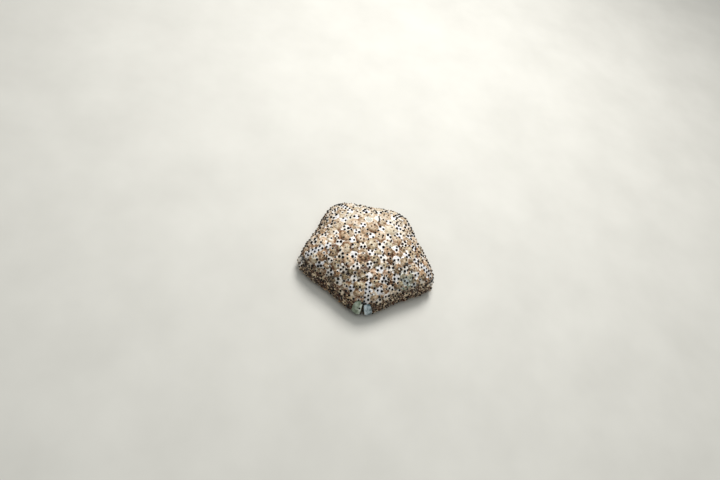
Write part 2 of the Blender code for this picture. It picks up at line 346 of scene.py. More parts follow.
@dataclass(frozen=True)
class Chart:
    """The unwrap: the dome as one disc, and the sole as a smaller one in the corner that it leaves."""

    form: BodyForm
    dome_radius: float = 0.365
    sole_radius: float = 0.205
    margin: float = 0.004

    def places(self, spots: Spots, sole: Array) -> Array:
        """Where these places lie on the unwrap.

        Args:
            spots: places on the body.
            sole: for each place, whether it is read on the sole's disc.

        Returns:
            Two coordinates a row, each from 0 to 1.
        """
        slopes, lengths, _ = self.form.meridian(ARM_STEP / 2)
        along = np.interp(-spots.slope, -slopes, lengths / lengths[-1])
        out = np.where(sole, spots.inset * self.sole_radius, along * self.dome_radius)
        centre = np.where(sole[:, None], [1 - self.sole_radius - self.margin, self.sole_radius + self.margin],
                          [self.dome_radius + self.margin, 1 - self.dome_radius - self.margin])
        turned = np.where(sole, -1.0, 1.0)
        flat = bearing(spots.angle)[:, :2]
        return centre + flat * np.stack([out * turned, out], -1)


@dataclass(frozen=True)
class RingMesh:
    """A closed net of near-even triangles over the body, in rings from the top down to the sole's middle."""

    form: BodyForm
    edge: float
    sole_edge: float
    focus: float = 0.0
    focus_width: float = 0.0055
    focus_level: float = 0.030
    usual_angle: float = math.radians(25)
    row_share: float = 0.87

    def ring_angles(self, distance: float, level: float, edge: float, odd: bool) -> Array:
        """One ring's bearings, closer together where a furrow crosses it.

        Args:
            distance: the ring's mean distance from the middle.
            level: its height.
            edge: the spacing wanted.
            odd: whether the ring is turned by half a space.

        Returns:
            The bearings, rising.
        """
        fine = np.linspace(0.0, FULL_TURN, 2881)
        weight = np.ones_like(fine)
        across = distance * np.sin(off_arm(fine))
        if level < self.focus_level:
            weight += self.focus * np.exp(-((across / self.focus_width) ** 2))
        total = np.concatenate([[0.0], np.cumsum((weight[1:] + weight[:-1]) / 2)])
        count = max(6, round(distance * FULL_TURN * total[-1] / (len(fine) - 1) / edge))
        shares = (np.arange(count) + 0.5 * odd) / count
        return np.interp(shares, total / total[-1], fine)

    def stations(self) -> list[tuple[float, float]]:
        """The rings from just below the top to just short of the sole's middle.

        Returns:
            Each one's slope and inset.
        """
        slopes, lengths, _ = self.form.meridian(self.usual_angle)
        rows = round(lengths[-1] / (self.edge * self.row_share))
        dome = np.interp(np.linspace(0.0, lengths[-1], rows + 1)[1:], lengths, slopes)
        sole_rows = round((self.form.mean_reach - self.form.undercurl) / (self.sole_edge * self.row_share))
        sole = np.linspace(1.0, 0.0, sole_rows + 1)[1:-1]
        return [(slope, 1.0) for slope in dome] + [(DOWN_SLOPE, inset) for inset in sole]

    def build(self) -> tuple[Spots, Array, Array]:
        """The net's places and triangles.

        Returns:
            The places, the triangles as rows of three place numbers, and which triangles are on the sole.
        """
        groups = [Spots.on_dome(np.zeros(1), np.full(1, math.pi / 2))]
        for number, (slope, inset) in enumerate(self.stations()):
            x, y, level = self.form.points(Spots(*np.array([[self.usual_angle], [slope], [inset]])))[0]
            edge = self.edge if inset == 1.0 else self.sole_edge
            angles = self.ring_angles(math.hypot(x, y), level, edge, number % 2 == 1)
            groups.append(Spots(angles, np.full_like(angles, slope), np.full_like(angles, inset)))
        groups.append(Spots(np.zeros(1), np.full(1, DOWN_SLOPE), np.zeros(1)))
        starts = np.cumsum([0] + [len(group) for group in groups])
        faces, on_sole = [], []
        for upper, lower, start, after in zip(groups, groups[1:], starts, starts[1:]):
            found = self.zipped(upper.angle, lower.angle, start, after)
            faces.append(found)
            on_sole.append(np.full(len(found), lower.inset[0] < 1.0))
        return Spots.joined(groups), np.concatenate(faces), np.concatenate(on_sole)

    @staticmethod
    def zipped(upper: Array, lower: Array, start: int, after: int) -> Array:
        """The triangles between two rings, whatever their counts.

        Args:
            upper: the upper ring's bearings, or one for a pole.
            lower: the lower ring's bearings, or one for a pole.
            start: the number of the upper ring's first place.
            after: the number of the lower ring's first place.

        Returns:
            Rows of three place numbers, facing outwards.
        """
        def between(angles: Array) -> Array:
            """The bearings halfway from each place to the next."""
            return (angles + np.append(angles[1:], angles[0] + FULL_TURN)) / 2

        count, lower_count = len(upper), len(lower)
        half, lower_half = between(upper), between(lower)
        faces = []
        if count > 1:
            each = np.arange(count)
            apex = np.searchsorted(lower_half, half) % lower_count
            faces.append(np.stack([(each + 1) % count + start, each + start, apex + after], -1))
        if lower_count > 1:
            each = np.arange(lower_count)
            apex = np.searchsorted(half, lower_half, side="right") % count
            faces.append(np.stack([each + after, (each + 1) % lower_count + after, apex + start], -1))
        return np.concatenate(faces)


@dataclass
class Net:
    """The skeleton's net under the skin: plates where its bars meet, and soft puffs in its meshes."""

    form: BodyForm
    seed: int = 12
    sample_edge: float = 0.0021
    plate_gap: float = 0.0208
    low_gap: float = 0.0128
    low_level: float = 0.014
    high_level: float = 0.040
    plate_radius: float = 0.0064
    ridge_pitches: tuple[float, ...] = (0.0030, 0.0075, 0.0078, 0.0085, 0.0115, 0.0160, 0.0190)
    ridge_radius: float = 0.0056
    band_shift: float = 0.0026
    margin_pitch: float = 0.0096
    margin_radius: float = 0.0032
    margin_slope: float = math.radians(-24)
    lowest_slope: float = math.radians(-12)
    lip_clearance: float = 0.0190
    slit_clearance: float = 0.0060
    tip_level: float = 0.0320
    relaxings: int = 7
    puff_gap: float = 0.0092
    sieve_angle: float = math.radians(190)
    sieve_distance: float = 0.0330
    sieve_radius: float = 0.00736
    crowding: float = 0.70
    bar_reach: float = 1.45
    spare_share: float = 0.40
    plates: Spots = field(init=False)
    radii: Array = field(init=False)
    kinds: Array = field(init=False)
    puffs: Array = field(init=False)
    puff_widths: Array = field(init=False)
    bars: Array = field(init=False)
    knots: Array = field(init=False)

    RIDGE, MARGIN, SIEVE, COMMON = 0, 1, 2, 3

    def gap_at(self, level: Array) -> Array:
        """How far apart plates stand at this height."""
        share = smooth_step(self.low_level, self.high_level, level)
        return self.low_gap + (self.plate_gap - self.low_gap) * share

    def ridge_shift(self, arm: Arm, below: float) -> float:
        """How far the front arm's band lies off its ridge, this far from the tip."""
        return self.band_shift * max(0.0, 1.0 - below / 0.045) if arm is Arm.FRONT else 0.0

    def ridge_spots(self) -> Spots:
        """The plates along each arm's ridge, from its tip towards the middle.

        Returns:
            Their places.
        """
        angles, slopes = [], []
        for arm in Arm:
            table, lengths, points = self.form.meridian(arm.angle)
            tip = float(np.interp(-self.tip_level, -points[:, 2], lengths))
            for below in np.cumsum(self.ridge_pitches):
                slope = float(np.interp(tip - below, lengths, table))
                reach = float(np.interp(slope, table[::-1], level_distance(points)[::-1]))
                angles.append(arm.angle + 1.3 * self.ridge_shift(arm, below) / reach)
                slopes.append(slope)
        return Spots.on_dome(np.array(angles), np.array(slopes))

    def margin_spots(self) -> Spots:
        """The small plates in a row round the rim, clear of the arms' tips.

        Returns:
            Their places.
        """
        fine = np.linspace(0.0, FULL_TURN, 1441)[:-1]
        points = self.form.points(Spots.on_dome(fine, np.full_like(fine, self.margin_slope)))
        lengths = run_lengths(points)
        count = round(lengths[-1] / self.margin_pitch)
        angles = np.interp((np.arange(count) + 0.5) / count * lengths[-1], lengths, fine)
        least = np.where(on_front(angles), self.lip_clearance, 1.4 * self.slit_clearance)
        clear = np.abs(np.sin(off_arm(angles)) * self.form.reach(angles)) > least
        angles = angles[clear]
        return Spots.on_dome(angles, np.full_like(angles, self.margin_slope))

    def sieve_spot(self) -> Spots:
        """Where the sieve plate lies."""
        share = self.sieve_distance / self.form.reach(np.array([self.sieve_angle]))
        return Spots.on_dome(np.array([self.sieve_angle]), np.arccos(share ** (self.form.dome_power / 2.0)))

    def build(self) -> None:
        """Places the plates, then finds the bars between them and the puffs in the meshes."""
        samples = RingMesh(self.form, self.sample_edge, self.sample_edge).build()[0]
        samples = samples.pick((samples.inset == 1.0) & (samples.slope > self.lowest_slope))
        points = self.form.points(samples)
        gaps = self.gap_at(points[:, 2])
        across = np.abs(np.sin(off_arm(samples.angle))) * level_distance(points)
        bare = np.where(on_front(samples.angle), self.lip_clearance - 0.002, self.slit_clearance)
        barred = (across < bare) & (points[:, 2] < self.tip_level)
        ridge, margin, sieve = self.ridge_spots(), self.margin_spots(), self.sieve_spot()
        fixed = Spots.joined([ridge, margin, sieve])
        centres = self.form.points(fixed)
        rng = np.random.default_rng(self.seed)
        near = (np.linalg.norm(points[:, None] - centres[None], axis=-1).min(1)) / gaps
        near[barred] = 0.0
        taste = rng.uniform(0.9, 1.0, len(points))
        chosen = []
        while (near * taste).max() > self.crowding:
            best = int((near * taste).argmax())
            chosen.append(best)
            near = np.minimum(near, np.linalg.norm(points - points[best], axis=1) / gaps)
        chosen_points = points[chosen]
        for _ in range(self.relaxings):
            everyone = np.concatenate([chosen_points, centres])
            owner = np.linalg.norm(points[:, None] - everyone[None], axis=-1).argmin(1)
            for number in range(len(chosen_points)):
                mine = points[(owner == number) & ~barred]
                if len(mine):
                    chosen_points[number] = mine.mean(0)
        free = self.form.located(chosen_points)
        self.plates = Spots.joined([fixed, free])
        centres = self.form.points(self.plates)
        self.kinds = np.repeat([self.RIDGE, self.MARGIN, self.SIEVE, self.COMMON],
                               [len(ridge), len(margin), len(sieve), len(free)])
        high = smooth_step(self.low_level, self.high_level, centres[:, 2])
        common = self.plate_radius * (0.56 + 0.44 * high) * rng.uniform(0.80, 1.12, len(centres))
        known = [self.kinds == kind for kind in (self.RIDGE, self.MARGIN, self.SIEVE)]
        self.radii = np.select(known, [self.ridge_radius, self.margin_radius, self.sieve_radius], common)
        self.find_bars(centres)
        self.find_puffs(points, gaps, centres, barred)

    def find_bars(self, centres: Array) -> None:
        """Keeps each pair of neighbouring plates with no third one nearer the pair's middle.

        Args:
            centres: the plates' points.
        """
        first, second = np.triu_indices(len(centres), 1)
        lengths = np.linalg.norm(centres[first] - centres[second], axis=1)
        close = lengths < self.bar_reach * self.gap_at((centres[first] + centres[second])[:, 2] / 2)
        first, second, lengths = first[close], second[close], lengths[close]
        middles = (centres[first] + centres[second]) / 2
        apart = np.linalg.norm(middles[:, None] - centres[None], axis=-1)
        clear = (apart < (lengths / 2 - 1e-5)[:, None]).sum(1) == 0
        self.bars = np.stack([first[clear], second[clear]], -1)
        rng = np.random.default_rng(self.seed + 1)
        knots = []
        for start, end in self.bars:
            kinds = {int(self.kinds[start]), int(self.kinds[end])}
            if kinds <= {self.MARGIN, self.RIDGE} or self.SIEVE in kinds:
                continue
            for share in rng.choice([0.5, 0.36, 0.64], int(rng.choice([1, 1, 2])), replace=False):
                shift = share + rng.normal(0.0, 0.03)
                knots.append(centres[start] * (1 - shift) + centres[end] * shift)
        self.knots = self.form.points(self.form.located(np.array(knots)))

    def find_puffs(self, points: Array, gaps: Array, centres: Array,
                   barred: Array) -> None:
        """Puts a puff at each place that is farthest from all plates about it.

        Args:
            points: sample points over the dome.
            gaps: how far apart plates stand at each.
            centres: the plates' points.
            barred: the samples that no puff may take.
        """
        spare = np.linalg.norm(points[:, None] - centres[None], axis=-1).min(1) / gaps
        spare[barred] = 0.0
        found: list[int] = []
        for candidate in np.argsort(-spare):
            if spare[candidate] < self.spare_share:
                break
            least = self.puff_gap * gaps[candidate] / 0.02
            if not found or np.linalg.norm(points[found] - points[candidate], axis=1).min() > least:
                found.append(int(candidate))
        self.puffs = points[found]
        to_plate = (np.linalg.norm(self.puffs[:, None] - centres[None], axis=-1) - self.radii * 0.66).min(1)
        between = np.linalg.norm(self.puffs[:, None] - self.puffs[None], axis=-1)
        between[np.diag_indices(len(found))] = 1.0
        self.puff_widths = np.clip(np.minimum(to_plate, between.min(1) * 0.64), 0.0034, 0.0086)


@dataclass(frozen=True)
class Fields:
    """What the skin is at each place: how far it stands out, and how much it is of each thing."""

    relief: Array
    plate: Array
    white: Array
    puff: Array
    hue: Array
    lip: Array
    furrow: Array
    low: Array
    sole: Array


@dataclass(frozen=True)
class Ground:
    """How places lie: their points, the front arm's, the sole's, and their measures to the nearest slit."""

    base: Array
    front: Array
    sole: Array
    distance: Array
    along: Array
    across: Array
    top: Array
    climb: Array
    half: Array


@dataclass
class Surface:
    """The living surface: the body's rule with its puffs, plates, lips, furrows and mouth."""

    form: BodyForm
    net: Net
    puff_rise: float = 0.38
    low_puff_rise: float = 0.32
    puff_shoulder: float = 0.56
    knot_radius: float = 0.0024
    bar_width: float = 0.0012
    bar_height: float = 0.0003
    plate_height: float = 0.0008
    drift: float = 0.0011
    drift_size: float = 0.0052
    fine_drift: float = 0.0008
    fine_drift_size: float = 0.0021
    furrow_half_width: float = 0.0045
    furrow_end_half_width: float = 0.0010
    furrow_depth: float = 0.0058
    furrow_end_depth: float = 0.0030
    shallows: tuple[float, float] = (0.068, 0.086)
    furrow_top: float = 0.0298
    side_furrow_top: float = 0.0255
    twist_reach: float = 0.0026
    twist_start: float = 0.074
    twist_levels: tuple[float, float] = (0.004, 0.027)
    side_lip_scale: float = 0.62
    lip_offset: float = 0.0066
    lip_rounding: float = 0.0036
    lip_levels: tuple[float, float] = (0.0176, 0.0166)
    lip_left: tuple[float, float, float] = (0.0084, 0.0158, 0.0038)
    lip_right: tuple[float, float, float] = (0.0072, 0.0140, 0.0034)
    tip_start: float = 0.06
    pallor_width: tuple[float, float] = (0.0052, 0.0092)
    pallor: float = 0.60
    mouth_radius: float = 0.0112
    mouth_depth: float = 0.0062
    sole_lift: float = 0.0013
    sole_cell: float = 0.0066
    sole_groove: float = 0.0005
    lumps: float = 0.00032
    # The heights over which the low sides' browning fades out: partly their own browner colour, partly
    # painted shade.
    shade_levels: tuple[float, float] = (0.020, 0.047)
    seed: int = 5

    def __post_init__(self) -> None:
        """Draws the puffs' own tints and the sole's little plates."""
        rng = np.random.default_rng(self.seed)
        self.puff_hues = rng.uniform(0.0, 1.0, len(self.net.puffs))
        brightness = np.clip(rng.uniform(0.45, 1.25, len(self.net.plates)), 0.0, 1.0)
        level = self.form.points(self.net.plates)[:, 2]
        # Plates lower down are less white: partly their own colour, partly painted shade.
        brightness = brightness * (0.36 + 0.64 * smooth_step(0.013, 0.036, level))
        self.brightness = np.where(self.net.kinds == self.net.RIDGE, np.maximum(brightness, 0.85), brightness)
        count = int(1.5 * (2 * self.form.mean_reach / self.sole_cell) ** 2)
        steps = np.arange(count)
        spread = np.sqrt((steps + 0.5) / count) * self.form.mean_reach
        turn = steps * math.pi * (3.0 - math.sqrt(5.0))
        jitter = rng.normal(0.0, self.sole_cell * 0.13, (count, 2))
        self.sole_cells = np.stack([spread * np.sin(turn), spread * np.cos(turn)], -1) + jitter

    @staticmethod
    def nearest(points: Array, centres: Array, wanted: int) -> tuple[Array, Array]:
        """Each point's distances to its nearest centres, and which those are.

        Args:
            points: points, one a row.
            centres: centres, one a row.
            wanted: how many of the nearest to give.

        Returns:
            Distances and centre numbers, nearest first.
        """
        distances, numbers = [], []
        for part in np.array_split(points.astype(np.float32), max(1, len(points) // 6000)):
            apart = np.sqrt(np.maximum((part**2).sum(1)[:, None] + (centres**2).sum(1)[None]
                                       - 2 * part @ centres.T.astype(np.float32), 0.0))
            order = np.argpartition(apart, wanted, axis=1)[:, :wanted]
            picked = np.take_along_axis(apart, order, 1)
            sort = picked.argsort(1)
            distances.append(np.take_along_axis(picked, sort, 1))
            numbers.append(np.take_along_axis(order, sort, 1))
        return np.concatenate(distances), np.concatenate(numbers)

    def twist(self, along: Array, level: Array) -> Array:
        """How far the front arm's slit bends aside, this far out along the arm and at this height."""
        foot = falling(*self.twist_levels, level)
        return self.twist_reach * foot * smooth_step(self.twist_start, self.twist_start + 0.018, along)

    def ground(self, spots: Spots) -> Ground:
        """How these places lie to the arms' slits.

        Args:
            spots: places on the body.

        Returns:
            The places with their points and their measures.
        """
        base, front = self.form.points(spots), on_front(spots.angle)
        from_arm, distance = off_arm(spots.angle), level_distance(base)
        along = distance * np.cos(from_arm)
        across = distance * np.sin(from_arm) - self.twist(along, base[:, 2]) * front
        top = np.where(front, self.furrow_top, self.side_furrow_top)
        climb = np.clip(base[:, 2] / top, 0.0, 1.0)
        half = self.furrow_half_width + (self.furrow_end_half_width - self.furrow_half_width) * climb**0.9
        return Ground(base, front, spots.inset < 1.0, distance, along, across, top, climb, half)

    def furrow(self, ground: Ground) -> tuple[Array, Array]:
        """How deep the furrows and the mouth sink the skin, and how much of each place they take.

        Args:
            ground: places on the body.

        Returns:
            Depths in metres, and shares from 0 to 1.
        """
        sunk = (1.0 - ground.climb) * falling(*self.shallows, ground.along)
        depth = self.furrow_end_depth + (self.furrow_depth - self.furrow_end_depth) * sunk
        present = smooth_step(0.0, 0.0022, ground.top - ground.base[:, 2]) * (ground.along > 0)
        share = falling(0.62, 1.12, np.abs(ground.across) / ground.half) * present
        mouth = falling(self.mouth_radius * 0.62, self.mouth_radius * 1.08, ground.distance) * ground.sole
        return np.maximum(share * depth, mouth * self.mouth_depth), np.maximum(share, mouth)

    def lips(self, ground: Ground) -> tuple[Array, Array]:
        """The two smooth swellings beside each arm tip's slit.

        Args:
            ground: places on the body.

        Returns:
            How far they stand out, and how much of each place the front arm's are.
        """
        left, front, aside = ground.across < 0, ground.front, np.abs(ground.across)
        scale = np.where(front, 1.0, self.side_lip_scale)
        sizes = np.where(left[:, None], np.array(self.lip_left), np.array(self.lip_right)) * scale[:, None]
        level = np.where(left, *self.lip_levels) * np.where(front, 1.0, 0.8)
        outer = ~ground.sole & (ground.distance > self.tip_start)
        rise = (ground.base[:, 2] - level) / sizes[:, 1]
        middle = (self.lip_offset + 0.0012 * np.clip(-rise, 0.0, 1.0) ** 2) * scale
        beyond = (aside - middle) / (sizes[:, 0] * (1.0 - 0.30 * np.clip(rise, -1.0, 1.0)))
        off = np.where(beyond > 0, beyond, -beyond * 0.68) ** 2.2 + np.abs(rise) ** 2.4
        inner = np.clip((aside - 0.75 * ground.half) / self.lip_rounding, 0.0, 1.0)
        swell = np.clip(1.0 - off, 0.0, 1.0) ** 0.62 * np.sqrt(inner * (2.0 - inner)) * sizes[:, 2] * outer
        return swell, falling(0.84, 1.06, off) * outer * front

    def tip_pallor(self, ground: Ground) -> Array:
        """The pale margins beside the slits of all arms' tips but the front one's.

        Args:
            ground: places on the body.

        Returns:
            How much of each place they are.
        """
        base = ground.base
        ragged = 0.0020 * wavering(base + 0.2, 0.0050) + 0.0012 * wavering(base + 0.5, 0.0022)
        beside = falling(*self.pallor_width, np.abs(ground.across) + ragged)
        span = smooth_step(0.003, 0.006, base[:, 2] + ragged) * falling(0.026, 0.031, base[:, 2])
        return beside * span * ~ground.sole * (ground.along > self.tip_start) * ~ground.front

    def bars_at(self, base: Array, centres: Array, owner: Array) -> Array:
        """How much of each place lies on a bar from its nearest plate to one of the next two.

        Args:
            base: points on the body.
            centres: the plates' points.
            owner: each point's three nearest plates.

        Returns:
            Shares from 0 to 1.
        """
        share = np.zeros(len(base))
        for other in (1, 2):
            start, along = centres[owner[:, 0]], centres[owner[:, other]] - centres[owner[:, 0]]
            length = np.linalg.norm(along, axis=1)
            step = np.clip(((base - start) * along).sum(1) / length**2, 0.0, 1.0)
            off = np.linalg.norm(base - start - along * step[:, None], axis=1)
            joined = length < 1.40 * self.net.gap_at(base[:, 2])
            width = self.bar_width * (1.35 - 0.7 * step)
            share = np.maximum(share, falling(0.55, 1.25, off / width) * joined)
        return share

    def puffs_at(self, base: Array) -> tuple[Array, Array, Array]:
        """The puff that each place lies on.

        Args:
            base: points on the body.

        Returns:
            How full it is there, from 0 to 1, how wide it is, and its number.
        """
        off, numbers = self.nearest(base, self.net.puffs, 3)
        widths = self.net.puff_widths[numbers]
        scaled = off / widths
        order = scaled.argsort(1)
        first, second = (np.take_along_axis(scaled, order[:, rank:rank + 1], 1)[:, 0] for rank in (0, 1))
        width, number = (np.take_along_axis(values, order[:, :1], 1)[:, 0] for values in (widths, numbers))
        rim = np.minimum((second - first) * 0.55, (1.75 - first) * 0.9)
        full = np.sqrt(smooth_step(0.0, self.puff_shoulder, rim))
        return np.clip(full * (1.0 - 0.35 * np.clip(first, 0.0, 1.2) ** 2), 0.0, 1.0), width, number

    def fields(self, spots: Spots) -> Fields:
        """What the skin is at these places.

        Args:
            spots: places on the body.

        Returns:
            The fields, one value each a place.
        """
        ground = self.ground(spots)
        base = ground.base
        high = smooth_step(self.net.low_level, self.net.high_level, base[:, 2])
        moved = base + self.drift * drifting(base, self.drift_size) \
            + self.fine_drift * drifting(base + 0.3, self.fine_drift_size)
        centres = self.form.points(self.net.plates)
        apart, owner = self.nearest(moved, centres, 3)
        relative = apart / self.net.radii[owner]
        plate = falling(0.62, 1.12, relative.min(1))
        mine = np.take_along_axis(owner, relative.argmin(1)[:, None], 1)[:, 0]
        bar = self.bars_at(moved, centres, owner)
        knot, _ = self.nearest(moved, self.net.knots, 2)
        knot = falling(0.5, 1.15, knot[:, 0] / (self.knot_radius * (0.8 + 0.2 * high)))
        upper = smooth_step(math.radians(-46), math.radians(-24), spots.slope)
        swell, lip = self.lips(ground)
        body = upper * (1.0 - lip)
        puff, width, number = self.puffs_at(moved)
        puff = puff * (1.0 - 0.90 * plate) * (1.0 - 0.40 * knot) * body
        height = width * (self.low_puff_rise + (self.puff_rise - self.low_puff_rise) * high)
        hue = np.where(lip > 0.02, np.where(ground.across < 0, 0.0, 1.0), self.puff_hues[number])
        depth, furrow = self.furrow(ground)
        lumpy = self.lumps * (wavering(base + 0.7, 0.0030) + 0.6 * wavering(base + 0.1, 0.0014))
        raised = np.maximum(plate * self.plate_height, bar * self.bar_height) * body
        relief = np.maximum(puff * height, raised) + lumpy * body
        relief = relief + swell
        cell, _ = self.nearest(flattened(base), flattened(self.sole_cells), 2)
        gap = (cell[:, 1] - cell[:, 0]) / self.sole_cell
        under = smooth_step(math.radians(-35), math.radians(-80), spots.slope)
        relief = relief - under * (self.sole_lift + self.sole_groove * falling(0.05, 0.30, gap))
        relief = relief * (1.0 - furrow) - depth
        sole = np.where(ground.sole, 1.0, under)
        # On the lips the puff field carries painted light instead: a highlight along each lip's inner edge,
        # weaker towards its foot.
        edge = falling(-0.0006, 0.0056, np.abs(ground.across) - ground.half)
        puff = np.where(lip > 0.02, edge * (0.25 + 0.75 * smooth_step(0.006, 0.020, base[:, 2])), puff)
        # How low each place lies, which the skin's material browns: partly the sides' own browner colour,
        # partly painted shade.
        low = falling(*self.shade_levels, base[:, 2])
        low = low * (1.0 - 0.85 * plate * (self.net.kinds[mine] == self.net.RIDGE))
        white = np.maximum(plate * self.brightness[mine], np.maximum(knot * 0.75, bar * 0.30)) * body
        plate = np.maximum(plate * body, under * smooth_step(0.08, 0.3, gap))
        pallor = self.tip_pallor(ground)
        white, low = np.maximum(white, self.pallor * pallor), low * (1.0 - 0.85 * pallor)
        return Fields(relief, plate, white, puff, hue, lip, furrow, low, sole)

    def seats(self, spots: Spots) -> tuple[Array, Array]:
        """The points on the finished skin at these places, and the directions straight out of it."""
        normals = self.form.normals(spots)
        return self.form.points(spots) + normals * self.fields(spots).relief[:, None], normals


class Wiring:
    """Lays out a tree's nodes, one call a node."""

    tree: bpy.types.NodeTree

    def add(self, kind: str, inputs: dict[int | str, object], **settings: object) -> bpy.types.Node:
        """Adds a node.

        Args:
            kind: the node's type.
            inputs: a value or a socket for each named or numbered input.
            settings: the node's own options.

        Returns:
            The node.
        """
        node = self.tree.nodes.new(kind)
        for name, value in settings.items():
            setattr(node, name, value)
        for key, value in inputs.items():
            self.feed(node.inputs[key], value)
        return node

    def feed(self, socket: Socket, value: object) -> None:
        """Sets a socket, or links it where the value is a socket.

        Args:
            socket: the input.
            value: what it gets.
        """
        if isinstance(value, Socket):
            self.tree.links.new(value, socket)
        else:
            socket.default_value = value


class Shader(Wiring):
    """Lays out one material's nodes."""

    def __init__(self, name: str) -> None:
        """Starts a material with one surface shader.

        Args:
            name: the finish's name.
        """
        self.material = bpy.data.materials.new(name)
        self.material.use_nodes = True
        self.tree = self.material.node_tree
        self.tree.nodes.clear()
        self.surface = self.tree.nodes.new("ShaderNodeBsdfPrincipled")
        output = self.tree.nodes.new("ShaderNodeOutputMaterial")
        self.tree.links.new(self.surface.outputs["BSDF"], output.inputs["Surface"])
        self.place = self.add("ShaderNodeTexCoord", {}).outputs["Object"]

    def attribute(self, name: str) -> Socket:
        """A number that the mesh carries."""
        return self.add("ShaderNodeAttribute", {}, attribute_name=name).outputs["Fac"]

    def noise(self, scale: float, detail: float = 4.0, roughness: float = 0.55) -> Socket:
        """Cloudy noise, with scale in lumps a metre."""
        inputs = {"Vector": self.place, "Scale": scale, "Detail": detail, "Roughness": roughness}
        return self.add("ShaderNodeTexNoise", inputs).outputs["Fac"]

    def cells(self, scale: float, feature: str = "F1") -> Socket:
        """The distance to the nearest grain's middle, with scale in grains a metre."""
        inputs = {"Vector": self.place, "Scale": scale}
        return self.add("ShaderNodeTexVoronoi", inputs, feature=feature).outputs["Distance"]

    def remap(self, value: Socket, low: float, high: float, start: float = 0.0, end: float = 1.0) -> Socket:
        """Moves value's range low to high onto start to end, smoothly and held at both."""
        inputs = {"Value": value, "From Min": low, "From Max": high, "To Min": start, "To Max": end}
        return self.add("ShaderNodeMapRange", inputs, interpolation_type="SMOOTHSTEP").outputs["Result"]

    def swing(self, cloud: Socket, start: float, end: float, half: float = 0.2) -> Socket:
        """Moves a cloud's range from half below 0.5 to half above it onto start to end."""
        return self.remap(cloud, 0.5 - half, 0.5 + half, start, end)

    def maths(self, operation: str, first: object, second: object = 0.0, clamp: bool = False) -> Socket:
        """One step of arithmetic."""
        inputs = {0: first, 1: second}
        return self.add("ShaderNodeMath", inputs, operation=operation, use_clamp=clamp).outputs[0]

    def plus(self, first: object, second: object, clamp: bool = False) -> Socket:
        """Their sum."""
        return self.maths("ADD", first, second, clamp)

    def minus(self, first: object, second: object) -> Socket:
        """The first less the second."""
        return self.maths("SUBTRACT", first, second)

    def times(self, first: object, second: object, clamp: bool = False) -> Socket:
        """Their product."""
        return self.maths("MULTIPLY", first, second, clamp)

    def ramp(self, factor: Socket, stops: Tones) -> Socket:
        """A run of colours along factor.

        Args:
            factor: a number from 0 to 1.
            stops: each colour's place and its display values, 0 to 255.

        Returns:
            The colour.
        """
        node = self.add("ShaderNodeValToRGB", {"Fac": factor})
        while len(node.color_ramp.elements) < len(stops):
            node.color_ramp.elements.new(0.5)
        for element, (place, colour) in zip(node.color_ramp.elements, stops):
            element.position = place
            element.color = linear(colour)
        return node.outputs["Color"]

    def mix(self, factor: object, first: object, second: object, mode: str = "MIX") -> Socket:
        """Blends two colours."""
        settings = {"data_type": "RGBA", "blend_type": mode, "clamp_result": True}
        return self.add("ShaderNodeMix", {0: factor, 6: first, 7: second}, **settings).outputs[2]

    def bump(self, height: Socket, distance: float, strength: float = 1.0,
             under: Socket | None = None) -> Socket:
        """Fine relief.

        Args:
            height: the height, about 0 to 1.
            distance: how high 1 stands, in metres.
            strength: how much of it shows.
            under: coarser relief that it lies on.

        Returns:
            The surface direction.
        """
        inputs: dict[int | str, object] = {"Height": height, "Distance": distance, "Strength": strength}
        if under is not None:
            inputs["Normal"] = under
        return self.add("ShaderNodeBump", inputs).outputs["Normal"]

    def finish(self, **inputs: object) -> bpy.types.Material:
        """Sets the surface shader's inputs, each named with _ for a space.

        Args:
            inputs: values or sockets.

        Returns:
            The finished material.
        """
        for name, value in inputs.items():
            self.feed(self.surface.inputs[name.replace("_", " ")], value)
        return self.material


class SkinShader(Shader):
    """The skin's nodes, with what its mesh carries and clouds of four sizes."""

    def __init__(self) -> None:
        """Starts the material."""
        super().__init__("moist_skin")
        names = ("plate", "white", "puff", "hue", "low", "sole", "lip", "furrow")
        self.plate, self.pale, self.puff, self.hue, low, self.under, self.lip, self.sunk = (
            self.attribute(name) for name in names)
        clouds = ((28.0, 3.0), (95.0, 3.0), (260.0, 5.0, 0.62), (820.0, 4.0))
        self.broad, self.patchy, self.middling, self.fine = (self.noise(*cloud) for cloud in clouds)
        self.axes = self.add("ShaderNodeSeparateXYZ", {0: self.place}).outputs
        # Rises towards the rear, where the skin is painted paler: partly its own colour, partly painted light
        # from the lamp behind.
        self.rear = self.remap(self.axes["Y"], -0.045, 0.060)
        # The low sides' browning, partly their own colour and partly painted shade, made ragged at its edge
        # and halved towards the rear.
        low = self.remap(self.plus(low, self.swing(self.patchy, -0.16, 0.16, 0.16)), 0.16, 0.94)
        self.low = self.times(low, self.minus(1.0, self.times(self.rear, 0.50)))


def linear(colour: Colour) -> tuple[float, float, float, float]:
    """Display values, 0 to 255, as the linear colour that shaders take."""
    shares = [value / 255 for value in colour]
    return tuple(s / 12.92 if s <= 0.04045 else ((s + 0.055) / 1.055) ** 2.4 for s in shares) + (1.0,)


